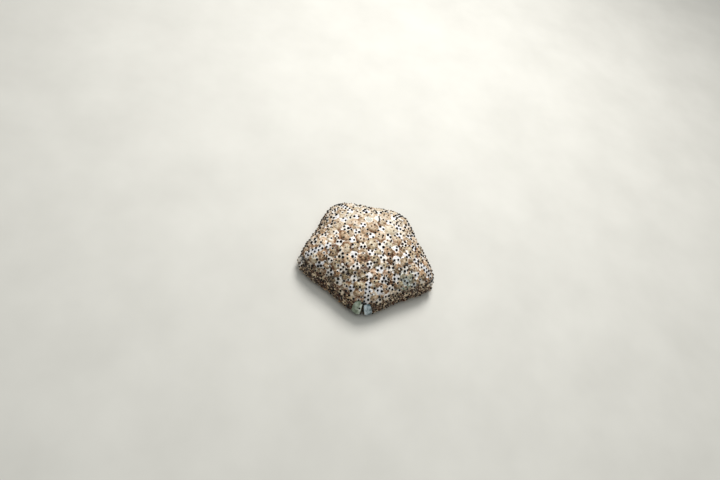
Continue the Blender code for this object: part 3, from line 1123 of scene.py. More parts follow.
@dataclass(frozen=True)
class SkinFinish:
    """Moist leathery skin: white plates, cream bars, and puffs from cream through tan and orange to olive."""

    tops: Tones = ((0.00, (98, 88, 68)), (0.16, (130, 114, 90)), (0.32, (158, 134, 106)),
                   (0.48, (184, 164, 138)), (0.64, (203, 190, 169)), (0.80, (221, 212, 198)),
                   (1.00, (240, 234, 224)))
    tints: Tones = ((0.0, (242, 246, 224)), (0.35, (255, 248, 238)), (0.7, (255, 220, 188)),
                    (0.95, (244, 228, 230)), (1.0, (242, 246, 224)))
    creases: Tones = ((0.0, (124, 86, 60)), (0.4, (194, 157, 126)), (0.8, (252, 249, 244)))
    plates: Tones = ((0.00, (218, 206, 188)), (0.45, (240, 234, 226)), (1.00, (224, 226, 236)))
    # The lips' tones run from painted shade to painted highlight over their own mottle, and the dark edge
    # colour is painted shade round their borders.
    left_lip: Tones = ((0.0, (80, 96, 78)), (0.5, (140, 154, 132)), (1.0, (232, 240, 228)))
    right_lip: Tones = ((0.0, (42, 62, 68)), (0.5, (98, 122, 130)), (1.0, (222, 236, 244)))
    lip_edge: Colour = (46, 48, 40)
    specks: Tones = ((0.0, (96, 66, 44)), (1.0, (255, 255, 255)))
    # Near black in the slits above the sole: painted shade. The ochre under it is the furrows' own colour.
    furrow: Colour = (6, 8, 8)
    furrow_under: Colour = (150, 122, 84)
    sole: Tones = ((0.0, (158, 128, 92)), (0.5, (206, 184, 148)), (1.0, (232, 222, 200)))
    # The low sides' browning, partly their own colour and partly painted shade, and the lighter version of it
    # over pale places.
    low_tint: Colour = (106, 74, 44)
    low_pale: Colour = (248, 232, 206)
    sea_tint: Colour = (146, 184, 172)
    sea_place: tuple[float, float, float] = (0.054, -0.045, 0.043)
    fleck: Colour = (240, 234, 220)
    fleck_scale: float = 245.0
    speck_scale: float = 1150.0
    grain_scale: float = 760.0

    def puffs(self, s: SkinShader) -> Socket:
        """The puffs and the creases between them, calmer and paler at the rear: partly their own paler colour
        there, partly painted light from the lamp behind.

        Args:
            s: the skin's nodes.

        Returns:
            Their colour.
        """
        tone = s.plus(s.times(s.hue, 0.56), s.swing(s.middling, -0.26, 0.38))
        tone = s.plus(tone, s.swing(s.patchy, -0.12, 0.20, 0.16))
        tone = s.plus(tone, s.swing(s.broad, -0.10, 0.12, 0.15), clamp=True)
        calm = s.times(s.rear, 0.62)
        tone = s.plus(s.times(tone, s.minus(1.0, calm)), s.times(calm, 0.80), clamp=True)
        tint = s.plus(s.times(s.hue, 5.7), s.swing(s.patchy, 0.0, 0.45, 0.16))
        strength = s.minus(0.78, s.times(s.rear, 0.52))
        top = s.mix(strength, s.ramp(tone, self.tops), s.ramp(s.maths("FRACT", tint), self.tints), "MULTIPLY")
        rise = s.remap(s.plus(s.puff, s.swing(s.patchy, -0.22, 0.22)), 0.20, 0.78)
        crease = s.ramp(s.plus(s.swing(s.patchy, 0.0, 0.75, 0.16), s.times(s.rear, 0.45)), self.creases)
        return s.mix(rise, s.mix(1.0, top, crease, "MULTIPLY"), top)

    def plated(self, s: SkinShader, colour: Socket) -> tuple[Socket, Socket]:
        """Lays the white plates and the pale flecks over a colour.

        Args:
            s: the skin's nodes.
            colour: what lies under them.

        Returns:
            The colour, and how much of each place is a fleck.
        """
        white = s.plus(s.remap(s.pale, 0.2, 1.0, 0.0, 0.7), s.swing(s.middling, -0.2, 0.4))
        ragged = s.plus(s.pale, s.swing(s.middling, -0.20, 0.22))
        colour = s.mix(s.remap(ragged, 0.14, 0.52), colour, s.ramp(white, self.plates))
        spread = s.minus(s.times(s.low, 0.11), s.swing(s.fine, -0.12, 0.12))
        flecks = s.minus(1.0, s.remap(s.minus(s.cells(self.fleck_scale), spread), 0.10, 0.26))
        share = s.plus(s.remap(s.patchy, 0.42, 0.60, 0.05, 0.45), s.times(s.low, 0.32))
        fleck = s.times(flecks, share, clamp=True)
        return s.mix(fleck, colour, linear(self.fleck)), fleck

    def shaded(self, s: SkinShader, colour: Socket, fleck: Socket) -> Socket:
        """Browns the low parts, but for the rim and what is pale, and tints one patch on the front right
        blue-green. The browning is partly the low sides' own colour and partly painted shade.

        Args:
            s: the skin's nodes.
            colour: what is tinted.
            fleck: how much of each place is a fleck.

        Returns:
            The colour.
        """
        rim = s.remap(s.plus(s.axes["Z"], s.swing(s.middling, -0.005, 0.005)), 0.003, 0.010, 0.45, 0.0)
        light = s.maths("MAXIMUM", rim, s.plus(s.pale, s.times(fleck, 1.4)))
        brown_and_shade = s.mix(s.remap(light, 0.15, 0.60), linear(self.low_tint), linear(self.low_pale))
        colour = s.mix(s.low, colour, brown_and_shade, "MULTIPLY")
        # A blue-green patch on the front right.
        apart = s.add("ShaderNodeVectorMath", {0: s.place, 1: self.sea_place}, operation="DISTANCE")
        sea = s.plus(apart.outputs["Value"], s.swing(s.patchy, -0.006, 0.006))
        return s.mix(s.remap(sea, 0.005, 0.018, 0.34, 0.0), colour, linear(self.sea_tint))

    def lipped(self, s: SkinShader, colour: Socket) -> Socket:
        """Lays the front arm's two green lips over a colour, with a painted highlight along their inner edges
        and their tops and painted shade towards their feet and round their borders.

        Args:
            s: the skin's nodes.
            colour: what lies beside them.

        Returns:
            The colour.
        """
        # Painted light on the lips: lighter in their middles, along their inner edges and on the right lip,
        # darker towards their borders.
        shade = s.plus(s.swing(s.noise(130.0, 5.0), -0.20, 0.34, 0.14), s.remap(s.lip, 0.3, 1.0, 0.0, 0.38))
        shade = s.plus(s.plus(shade, s.times(s.puff, 0.72)), s.times(s.hue, 0.08))
        lips = s.mix(s.hue, s.ramp(shade, self.left_lip), s.ramp(shade, self.right_lip))
        lips = s.mix(s.remap(s.lip, 0.35, 0.8), linear(self.lip_edge), lips)
        return s.mix(s.remap(s.lip, 0.10, 0.45), colour, lips)

    def make(self) -> bpy.types.Material:
        """Builds the skin's material.

        Returns:
            The material.
        """
        s = SkinShader()
        colour, fleck = self.plated(s, self.puffs(s))
        colour = self.lipped(s, self.shaded(s, colour, fleck))
        sole = s.plus(s.remap(s.plate, 0.0, 1.0, 0.0, 0.65), s.swing(s.middling, -0.1, 0.35))
        colour = s.mix(s.under, colour, s.ramp(sole, self.sole))
        # Painted shade fills the slits above the sole; the furrows under it keep their own ochre.
        dark = s.mix(s.under, linear(self.furrow), linear(self.furrow_under))
        colour = s.mix(s.remap(s.sunk, 0.15, 0.75), colour, dark)
        speck = s.ramp(s.remap(s.cells(self.speck_scale), 0.16, 0.30, 0.80, 1.0), self.specks)
        grain = s.bump(s.remap(s.cells(self.grain_scale, "SMOOTH_F1"), 0.0, 0.6, 1.0, 0.0), 0.00022, 0.75)
        rough = s.minus(s.swing(s.fine, 0.36, 0.58), s.times(s.lip, 0.2))
        rough = s.plus(rough, s.remap(s.sunk, 0.1, 0.6, 0.0, 0.45), clamp=True)
        return s.finish(Base_Color=s.mix(1.0, colour, speck, "MULTIPLY"), Roughness=rough,
                        Normal=s.bump(s.noise(1900.0, 3.0), 0.00010, 0.6, grain),
                        Specular_IOR_Level=0.40, Coat_Weight=0.10, Coat_Roughness=0.24, IOR=1.42)


@dataclass(frozen=True)
class GrainFinish:
    """A small hard or soft piece in one run of tones, each piece with a tone of its own."""

    name: str
    tones: Tones
    roughness: float
    coat: float
    gloss: float = 0.5
    mottle_scale: float = 900.0
    grain: float = 0.00006

    def make(self) -> bpy.types.Material:
        """Builds the material.

        Returns:
            The material.
        """
        s = Shader(self.name)
        mottle = s.noise(self.mottle_scale, 4.0)
        tone = s.plus(s.attribute("tone"), s.swing(mottle, -0.16, 0.16), clamp=True)
        rough = s.swing(mottle, self.roughness - 0.06, self.roughness + 0.10)
        relief = s.bump(s.noise(self.mottle_scale * 2.2, 3.0), self.grain, 0.7)
        return s.finish(Base_Color=s.ramp(tone, self.tones), Roughness=rough, Normal=relief, IOR=1.46,
                        Specular_IOR_Level=self.gloss, Coat_Weight=self.coat, Coat_Roughness=0.18)


def stood(name: str, data: bpy.types.ID) -> bpy.types.Object:
    """A new object of this data in the scene.

    Args:
        name: the object's name.
        data: its mesh, light or camera.

    Returns:
        The object.
    """
    obj = bpy.data.objects.new(name, data)
    bpy.context.scene.collection.objects.link(obj)
    return obj


@dataclass(frozen=True)
class TurnedForm:
    """A round little shape turned about its own axis, with its radius at each share of its height."""

    name: str
    profile: tuple[tuple[float, float], ...]
    sides: int
    rows: int


KNOB = TurnedForm("knob", ((0.0, 1.0), (0.30, 1.0), (0.58, 0.86), (0.82, 0.58), (1.0, 0.12)), 9, 5)
GRAIN = TurnedForm("grain", ((0.0, 1.0), (0.45, 0.92), (0.80, 0.58), (1.0, 0.10)), 6, 3)
SPINE = TurnedForm("spine", ((0.0, 0.80), (0.25, 1.0), (0.70, 0.80), (0.90, 0.58), (1.0, 0.16)), 7, 5)
FOOT = TurnedForm("foot", ((0.0, 0.72), (0.30, 0.60), (0.70, 0.52), (0.84, 0.62), (0.92, 1.0), (0.97, 0.96),
                           (1.0, 0.40)), 9, 9)
OSSICLE = TurnedForm("ossicle", ((0.0, 0.90), (0.40, 1.0), (0.80, 0.62), (1.0, 0.14)), 8, 4)


@dataclass
class Roots:
    """Where the pieces of one kind stand, the ways they point, their half widths and lengths, and tones."""

    spots: Spots
    place: Array
    lie: Array
    size: Array
    tone: Array

    def pick(self, chosen: Array) -> "Roots":
        """The chosen roots only."""
        others = (part[chosen] for part in (self.place, self.lie, self.size, self.tone))
        return Roots(self.spots.pick(chosen), *others)

    @staticmethod
    def joined(groups: list["Roots"]) -> "Roots":
        """All the groups' roots, in order."""
        others = joined_fields(groups, ("place", "lie", "size", "tone"))
        return Roots(Spots.joined([group.spots for group in groups]), *others)


class ScatterTree(Wiring):
    """Geometry nodes that stand one turned shape on every point, turned and sized by the point's numbers."""

    def __init__(self, form: TurnedForm) -> None:
        """Builds the tree.

        Args:
            form: the shape that is repeated.
        """
        self.tree = bpy.data.node_groups.new(f"scatter_{form.name}", "GeometryNodeTree")
        self.sockets: dict[str, str] = {}
        kinds = {"Points": "Geometry", "Sides": "Int", "Rows": "Int", "Seed": "Int", "Finish": "Material"}
        face = self.tree.interface
        for name, kind in kinds.items():
            socket = face.new_socket(name=name, in_out="INPUT", socket_type=f"NodeSocket{kind}")
            self.sockets[name] = socket.identifier
        face.new_socket(name="Geometry", in_out="OUTPUT", socket_type="NodeSocketGeometry")
        given = self.tree.nodes.new("NodeGroupInput").outputs
        placed = self.add("GeometryNodeInstanceOnPoints", {
            "Points": given["Points"], "Instance": self.shape(form, given["Sides"], given["Rows"]),
            "Rotation": self.turn(given["Seed"]), "Scale": self.carried("size", "FLOAT_VECTOR")})
        real = self.add("GeometryNodeRealizeInstances", {0: placed.outputs[0]})
        smooth = self.add("GeometryNodeSetShadeSmooth", {0: real.outputs[0]})
        dressed = self.add("GeometryNodeSetMaterial", {0: smooth.outputs[0], "Material": given["Finish"]})
        self.add("NodeGroupOutput", {0: dressed.outputs[0]})

    def carried(self, name: str, kind: str) -> Socket:
        """What each point carries under this name."""
        carrier = self.add("GeometryNodeInputNamedAttribute", {"Name": name}, data_type=kind)
        return carrier.outputs["Attribute"]

    def shape(self, form: TurnedForm, sides: Socket, rows: Socket) -> Socket:
        """The turned shape, one across each way from its axis and one high, standing on the origin.

        Args:
            form: its profile.
            sides: how many sides it has.
            rows: how many rows of faces it has.

        Returns:
            Its geometry, which carries each corner's own place as "spread".
        """
        tube = self.add("GeometryNodeMeshCylinder", {
            "Vertices": sides, "Side Segments": rows, "Radius": 1.0, "Depth": 1.0}, fill_type="TRIANGLE_FAN")
        raised = self.add("GeometryNodeTransform", {0: tube.outputs["Mesh"], "Translation": (0.0, 0.0, 0.5)})
        place = self.add("GeometryNodeInputPosition", {}).outputs[0]
        parts = self.add("ShaderNodeSeparateXYZ", {0: place}).outputs
        curve = self.add("ShaderNodeFloatCurve", {"Value": parts["Z"]})
        line = curve.mapping.curves[0]
        while len(line.points) < len(form.profile):
            line.points.new(0.5, 0.5)
        for point, (height, radius) in zip(line.points, form.profile):
            point.location = (height, radius)
        curve.mapping.update()
        wide = {axis: self.add("ShaderNodeMath", {0: parts[axis], 1: curve.outputs[0]},
                               operation="MULTIPLY").outputs[0] for axis in ("X", "Y")}
        moved = self.add("ShaderNodeCombineXYZ", {**wide, "Z": parts["Z"]}).outputs[0]
        turned = self.add("GeometryNodeSetPosition", {0: raised.outputs[0], "Position": moved})
        place = self.add("GeometryNodeInputPosition", {}).outputs[0]
        kept = {0: turned.outputs[0], "Name": "spread", "Value": place}
        return self.add("GeometryNodeStoreNamedAttribute", kept, data_type="FLOAT_VECTOR",
                        domain="POINT").outputs[0]

    def turn(self, seed: Socket) -> Socket:
        """Turns each shape's axis along its point's own direction, and spins it by chance.

        Args:
            seed: what the chance spin starts from.

        Returns:
            Each point's rotation.
        """
        lie = self.carried("lie", "FLOAT_VECTOR")
        aligned = self.add("FunctionNodeAlignRotationToVector", {"Vector": lie}, axis="Z").outputs[0]
        chance = self.add("FunctionNodeRandomValue", {2: 0.0, 3: FULL_TURN, "Seed": seed}, data_type="FLOAT")
        upright = self.add("ShaderNodeCombineXYZ", {"Z": chance.outputs[1]}).outputs[0]
        spin = self.add("FunctionNodeEulerToRotation", {0: upright}).outputs[0]
        return self.add("FunctionNodeRotateRotation", {"Rotation": aligned, "Rotate By": spin},
                        rotation_space="LOCAL").outputs[0]


@dataclass
class Workshop:
    """Turns meshes into pieces that ride on the body, each with its finish, and logs the slot that the record
    names for it.
    """

    chart: Chart
    shift: Array
    patch: float = 0.0015
    made: dict[str, ScatterTree] = field(default_factory=dict)

    def keep(self, obj: bpy.types.Object, slot: Slot, replaced: tuple[str, ...] = ()) -> None:
        """Makes an object a piece of the star.

        Args:
            obj: the finished object.
            slot: the finish that the record names for it.
            replaced: the solids that it stands for.
        """
        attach(obj, "root")
        if replaced:
            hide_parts(*replaced)
        triangles = sum(len(polygon.vertices) - 2 for polygon in obj.data.polygons)
        LOG.info("%s: %d triangles, finish %s", obj.name, triangles, slot.value)

    def object_from(self, name: str, points: Array, faces: Array,
                    finish: bpy.types.Material) -> bpy.types.Object:
        """A smooth-shaded object from points round the disc's middle.

        Args:
            name: the piece's name.
            points: its points, one a row.
            faces: its faces, one a row of point numbers.
            finish: its material.

        Returns:
            The object, its place in its mesh.
        """
        mesh = bpy.data.meshes.new(name)
        mesh.from_pydata((points + self.shift).tolist(), [], faces.tolist())
        mesh.shade_smooth()
        mesh.materials.append(finish)
        mesh.validate()
        return stood(name, mesh)

    def number(self, mesh: bpy.types.Mesh, name: str, values: Array) -> None:
        """Stores one number at each of the mesh's points."""
        mesh.attributes.new(name, "FLOAT", "POINT").data.foreach_set("value", values.astype(np.float32))

    def scatter(self, name: str, form: TurnedForm, roots: Roots, finish: bpy.types.Material, slot: Slot,
                replaced: tuple[str, ...] = (), seed: int = 1) -> None:
        """Stands a shape at every root and makes them one plain mesh.

        Args:
            name: the piece's name.
            form: the shape.
            roots: where, which way and how large.
            finish: the material.
            slot: the finish that the record names.
            replaced: the solids that it stands for.
            seed: what the chance spin starts from.
        """
        mesh = bpy.data.meshes.new(f"{name}_roots")
        mesh.from_pydata((roots.place + self.shift).tolist(), [], [])
        self.number(mesh, "tone", roots.tone)
        charted = flattened(self.chart.places(roots.spots, roots.spots.inset < 1.0))
        for part, values in (("lie", roots.lie), ("size", roots.size), ("root", charted)):
            data = values.astype(np.float32).ravel()
            mesh.attributes.new(part, "FLOAT_VECTOR", "POINT").data.foreach_set("vector", data)
        obj = stood(name, mesh)
        if form.name not in self.made:
            self.made[form.name] = ScatterTree(form)
        tree = self.made[form.name]
        modifier = obj.modifiers.new("stand", "NODES")
        modifier.node_group = tree.tree
        for label, value in (("Sides", form.sides), ("Rows", form.rows), ("Seed", seed), ("Finish", finish)):
            modifier[tree.sockets[label]] = value
        graph = bpy.context.evaluated_depsgraph_get()
        grown = bpy.data.meshes.new_from_object(obj.evaluated_get(graph))
        obj.modifiers.remove(modifier)
        obj.data = grown
        grown.name = name
        self.lay_out(grown)
        self.keep(obj, slot, replaced)

    def lay_out(self, mesh: bpy.types.Mesh) -> None:
        """Gives a scattered mesh its unwrap, each little shape a patch at its root's place.

        Args:
            mesh: the mesh, whose helper attributes are then removed.
        """
        values = {}
        for part in ("root", "spread"):
            data = np.empty(len(mesh.vertices) * 3, np.float32)
            mesh.attributes[part].data.foreach_get("vector", data)
            values[part] = data.reshape(-1, 3)[:, :2]
        corners = np.empty(len(mesh.loops), np.int32)
        mesh.loops.foreach_get("vertex_index", corners)
        spots = (values["root"] + values["spread"] * self.patch)[corners]
        for layer in list(mesh.uv_layers):
            mesh.uv_layers.remove(layer)
        mesh.uv_layers.new(name=CHART).uv.foreach_set("vector", spots.astype(np.float32).ravel())
        for part in ("root", "spread", "lie", "size"):
            if part in mesh.attributes:
                mesh.attributes.remove(mesh.attributes[part])


@dataclass
class Dressing:
    """What one kind of piece is made from: the surface that it stands on, and the workshop."""

    surface: Surface
    shop: Workshop

    @property
    def form(self) -> BodyForm:
        """The body's rule."""
        return self.surface.form


@dataclass
class Skin(Dressing):
    """The one closed skin over the disc and the arms."""

    edge: float = 0.00092
    sole_edge: float = 0.00135
    focus: float = 1.5

    def build(self) -> None:
        """Makes the skin's mesh, with its relief, its fields and its unwrap."""
        spots, faces, on_sole = RingMesh(self.form, self.edge, self.sole_edge, self.focus).build()
        fields = self.surface.fields(spots)
        points = self.form.points(spots) + self.form.normals(spots) * fields.relief[:, None]
        obj = self.shop.object_from("skin", points, faces, SkinFinish().make())
        for name in ("plate", "white", "puff", "hue", "lip", "furrow", "low", "sole"):
            self.shop.number(obj.data, name, getattr(fields, name))
        corners = faces.ravel()
        charted = self.shop.chart.places(spots.pick(corners), np.repeat(on_sole, 3))
        obj.data.uv_layers.new(name=CHART).uv.foreach_set("vector", charted.astype(np.float32).ravel())
        flesh = ["disc"] + [f"{part}_{arm.label}" for part in ("arm", "arm_tip") for arm in Arm]
        self.shop.keep(obj, Slot.SKIN, tuple(flesh))


@dataclass
class Knobs(Dressing):
    """The black knobs of the plates and bars, and the small brown ones of the puffs."""

    seed: int = 21
    plate_ring: float = 0.0036
    radius: float = 0.00198
    height: float = 0.0027
    bar_radius: float = 0.00164
    low_share: float = 0.74
    band_pitch: float = 0.0060
    band_half: float = 0.0023
    band_length: float = 0.036
    brown_radius: float = 0.00124
    brown_height: float = 0.0015
    rim_radius: float = 0.00110
    rim_height: float = 0.0014
    lip_dot: tuple[float, float, float] = (-0.0040, -0.0953, 0.0236)
    lip_dot_radius: float = 0.0015
    tip_levels: tuple[float, ...] = (0.0065, 0.0120, 0.0175, 0.0230)
    tip_half: float = 0.0062
    tip_stagger: float = 0.0009
    tip_widths: tuple[float, ...] = (0.92, 0.80, 0.74, 0.88)
    low_gap: float = 0.0030
    high_gap: float = 0.0034
    black_space: float = 0.0046
    brown_space: float = 0.0030
    rim_space: float = 0.0018
    sunk: float = 0.22
    lean: float = 0.10

    black: GrainFinish = GrainFinish(
        "black_knob", ((0.0, (5, 3, 2)), (0.8, (9, 6, 4)), (1.0, (34, 21, 14))), 0.52, 0.02, 0.18)
    brown: GrainFinish = GrainFinish(
        "brown_knob", ((0.0, (14, 9, 6)), (0.5, (40, 24, 15)), (1.0, (88, 52, 32))), 0.48, 0.05, 0.3)
    pale: GrainFinish = GrainFinish(
        "pale_knob",
        ((0.0, (150, 104, 64)), (0.35, (206, 160, 112)), (0.7, (226, 208, 178)), (1.0, (186, 196, 176))),
        0.42, 0.15)

    def rooted(self, points: Array, radius: Array, height: Array, tone: Array) -> Roots:
        """Roots on the dome nearest these points, each leaning a little by chance.

        Args:
            points: points close to the dome.
            radius: each piece's half width.
            height: each piece's length.
            tone: each piece's tone.

        Returns:
            The roots, a little sunk into the skin.
        """
        spots = self.form.located(points)
        place, normal = self.surface.seats(spots)
        lie = unit(normal + self.rng.normal(0.0, self.lean, normal.shape))
        return Roots(spots, place - normal * (height * self.sunk)[:, None], lie, sized(radius, height), tone)

    def around(self, centre: Array, normal: Array, count: int, distance: float) -> Array:
        """Points in a loose ring about a place.

        Args:
            centre: the ring's middle.
            normal: straight out of the skin there.
            count: how many points.
            distance: the ring's radius.

        Returns:
            The points, one a row.
        """
        side = unit(np.cross(normal, UP + 1e-3))
        rise = np.cross(side, normal)
        turn = self.rng.uniform(0, FULL_TURN) + np.arange(count) * FULL_TURN / count
        turn = turn + self.rng.normal(0.0, 0.22, count)
        reach = distance * self.rng.uniform(0.75, 1.15, count)
        return centre + side * (np.cos(turn) * reach)[:, None] + rise * (np.sin(turn) * reach)[:, None]

    def plate_points(self) -> tuple[Array, Array]:
        """The knobs of every plate.

        Returns:
            The points, and their half widths.
        """
        net, form = self.surface.net, self.form
        centres, normals = form.points(net.plates), form.normals(net.plates)
        points, radii = [], []
        for kind, centre, normal, width in zip(net.kinds, centres, normals, net.radii):
            if kind in (net.SIEVE, net.MARGIN):
                continue
            share = width / net.plate_radius
            count = int(self.rng.choice([3, 3, 4, 5] if share > 0.85 else [2, 2, 3]))
            found = self.around(centre, normal, count, self.plate_ring * share)
            if count >= 4:
                found = np.concatenate([found[:-1], centre[None]])
            points.append(found)
            radii.append(self.radius * (0.55 + 0.45 * share) * self.rng.uniform(0.82, 1.14, len(found)))
        return np.concatenate(points), np.concatenate(radii)

    def rim_points(self) -> tuple[Array, Array]:
        """A few pale knobs on each little plate of the rim.

        Returns:
            The points, and their half widths.
        """
        net, form = self.surface.net, self.form
        row = net.plates.pick(net.kinds == net.MARGIN)
        found = [self.around(centre, normal, int(self.rng.integers(3, 6)), self.rng.uniform(0.0018, 0.0034))
                 for centre, normal in zip(form.points(row), form.normals(row))]
        points = np.concatenate(found)
        return points, self.rim_radius * self.rng.uniform(0.7, 1.25, len(points))

    def band_points(self) -> tuple[Array, Array]:
        """The close double row down each arm's ridge to its tip.

        Returns:
            The points, and their half widths.
        """
        points = []
        for arm in Arm:
            _, lengths, line = self.form.meridian(arm.angle)
            tip = float(np.interp(-self.surface.net.tip_level, -line[:, 2], lengths))
            for number, back in enumerate(np.arange(0.0022, self.band_length, self.band_pitch / 2)):
                point = along(tip - back, lengths, line)
                way = (1 if number % 2 else -1) * self.band_half * self.rng.uniform(0.75, 1.25)
                way += self.surface.net.ridge_shift(arm, back)
                points.append(point + arm.across * way)
        radii = self.radius * 0.88 * self.rng.uniform(0.85, 1.1, len(points))
        return np.array(points), radii

    def tip_points(self) -> tuple[Array, Array]:
        """The row on each bank of the slit at every tip but the front one's.

        Returns:
            The points, and their half widths.
        """
        points = []
        for arm in list(Arm)[1:]:
            _, _, line = self.form.meridian(arm.angle)
            outer = line[level_distance(line) > self.surface.tip_start]
            outer = outer[outer[:, 2].argsort()]
            for number, level in enumerate(self.tip_levels):
                for way in (-1, 1):
                    point = along(level + way * self.tip_stagger, outer[:, 2], outer)
                    aside = self.tip_half * (1.0 + 0.11 * (-1) ** number)
                    points.append(point + arm.across * way * aside)
        widths = self.radius * np.array(self.tip_widths)
        return np.array(points), np.tile(widths, len(points) // len(widths))

    def bar_points(self) -> tuple[Array, Array]:
        """The knobs along the bars between plates."""
        knots = self.surface.net.knots
        return knots, self.bar_radius * self.rng.uniform(0.75, 1.25, len(knots))

    def brown_points(self) -> tuple[Array, Array]:
        """A few small knobs on each puff.

        Returns:
            The points, and their half widths.
        """
        form, puffs = self.form, self.surface.net.puffs
        found = []
        for puff, normal in zip(puffs, form.normals(form.located(puffs))):
            count = int(self.rng.integers(2, 5))
            found.append(self.around(puff, normal, count, self.low_gap if puff[2] < 0.034 else self.high_gap))
        points = np.concatenate(found)
        swell = 1.0 + 0.3 * (points[:, 2] < 0.030)
        return points, self.brown_radius * swell * self.rng.uniform(0.7, 1.3, len(points))

    def spaced(self, points: Array, radii: Array, gap: float) -> tuple[Array, Array]:
        """Leaves out each point that comes too near one before it, and all on the lips and in the slits.

        Args:
            points: the points, the ones that matter most first.
            radii: their half widths.
            gap: the least distance apart.

        Returns:
            The points and the half widths that stay.
        """
        fields = self.surface.fields(self.form.located(points))
        bare = (fields.lip > 0.35) | (fields.furrow > 0.05)
        kept: list[int] = []
        for number, point in enumerate(points):
            if bare[number]:
                continue
            if not kept or np.linalg.norm(points[kept] - point, axis=1).min() > gap:
                kept.append(number)
        return points[kept], radii[kept]

    def build(self) -> None:
        """Makes the black knobs, the brown ones and the rim's pale ones."""
        self.rng = np.random.default_rng(self.seed)
        groups = [self.band_points(), self.tip_points(), self.plate_points(), self.bar_points()]
        points = np.concatenate([group[0] for group in groups])
        radii = np.concatenate([group[1] for group in groups])
        radii = radii * (self.low_share + (1.0 - self.low_share) * smooth_step(0.010, 0.036, points[:, 2]))
        points, radii = self.spaced(points, radii, self.black_space)
        dotted, dots = np.append(points, [self.lip_dot], 0), np.append(radii, self.lip_dot_radius)
        sorts = [("tubercles", KNOB, dotted, dots, self.height / self.radius, self.black)]
        brown, widths = self.brown_points()
        brown, widths = self.spaced(np.concatenate([points, brown]), np.concatenate([radii, widths]),
                                    self.brown_space)
        fresh = slice(len(points), None)
        sorts.append(("puff_knobs", GRAIN, brown[fresh], widths[fresh], self.brown_height / self.brown_radius,
                      self.brown))
        points, radii = self.spaced(*self.rim_points(), self.rim_space)
        sorts.append(("rim_knobs", GRAIN, points, radii, self.rim_height / self.rim_radius, self.pale))
        for number, (name, form, points, radii, tall, finish) in enumerate(sorts):
            LOG.info("%d %s", len(points), name)
            tones = self.rng.uniform(0.0, 1.0, len(points))
            roots = self.rooted(points, radii, radii * tall, tones)
            self.shop.scatter(name, form, roots, finish.make(), Slot.TUBERCLES, seed=number)


@dataclass
class Grains(Dressing):
    """The fine grains that roughen the puffs, the bars and the rim."""

    seed: int = 33
    gap: float = 0.0034
    radius: float = 0.00052
    lowest_slope: float = math.radians(-40)
    finish: GrainFinish = GrainFinish(
        "skin_grain",
        ((0.0, (120, 92, 62)), (0.3, (172, 140, 106)), (0.6, (216, 194, 162)), (1.0, (240, 230, 212))),
        0.40, 0.2)

    def build(self) -> None:
        """Makes the grains."""
        rng = np.random.default_rng(self.seed)
        spots = RingMesh(self.form, self.gap, self.gap).build()[0]
        spots = spots.pick((spots.inset == 1.0) & (spots.slope > self.lowest_slope))
        base = self.form.points(spots) + rng.normal(0.0, self.gap * 0.22, (len(spots), 3))
        spots = self.form.located(base)
        fields = self.surface.fields(spots)
        keep = (fields.lip < 0.2) & (fields.furrow < 0.05)
        spots, hue = spots.pick(keep), fields.hue[keep]
        place, normal = self.surface.seats(spots)
        radius = self.radius * rng.uniform(0.6, 1.35, len(spots))
        size = sized(radius, radius * 1.1)
        tone = np.clip(0.3 * hue + 0.8 * rng.uniform(0, 1, len(spots)), 0, 1)
        lie = unit(normal + rng.normal(0.0, 0.2, normal.shape))
        roots = Roots(spots, place - normal * (radius * 0.3)[:, None], lie, size, tone)
        self.shop.scatter("skin_grains", GRAIN, roots, self.finish.make(), Slot.SKIN, seed=3)


def ball(rows: int, sides: int) -> tuple[Array, Array]:
    """A closed unit ball of this many rows and sides.

    Args:
        rows: rows of faces from the bottom to the top.
        sides: faces round it.

    Returns:
        Its points, and its triangles as rows of point numbers.
    """
    lift = np.linspace(-math.pi / 2, math.pi / 2, rows + 1)[1:-1]
    turn = np.arange(sides) * FULL_TURN / sides
    ring = np.stack([np.cos(turn), np.sin(turn)], -1)
    rings = [np.column_stack([ring * math.cos(angle), np.full(sides, math.sin(angle))]) for angle in lift]
    points = np.concatenate([[-UP], *rings, [UP]])
    last, each = len(points) - 1, np.arange(sides)
    after = (each + 1) % sides
    faces = [np.stack([np.zeros_like(each), after + 1, each + 1], -1)]
    for row in range(rows - 2):
        low, high = 1 + row * sides, 1 + (row + 1) * sides
        faces += [np.stack([low + each, low + after, high + after], -1),
                  np.stack([low + each, high + after, high + each], -1)]
    top = 1 + (rows - 2) * sides
    faces.append(np.stack([top + each, top + after, np.full_like(each, last)], -1))
    return points, np.concatenate(faces)


def squared(points: Array, power: float) -> Array:
    """A unit ball's points pushed towards a rounded block's."""
    return np.sign(points) * np.abs(points) ** power


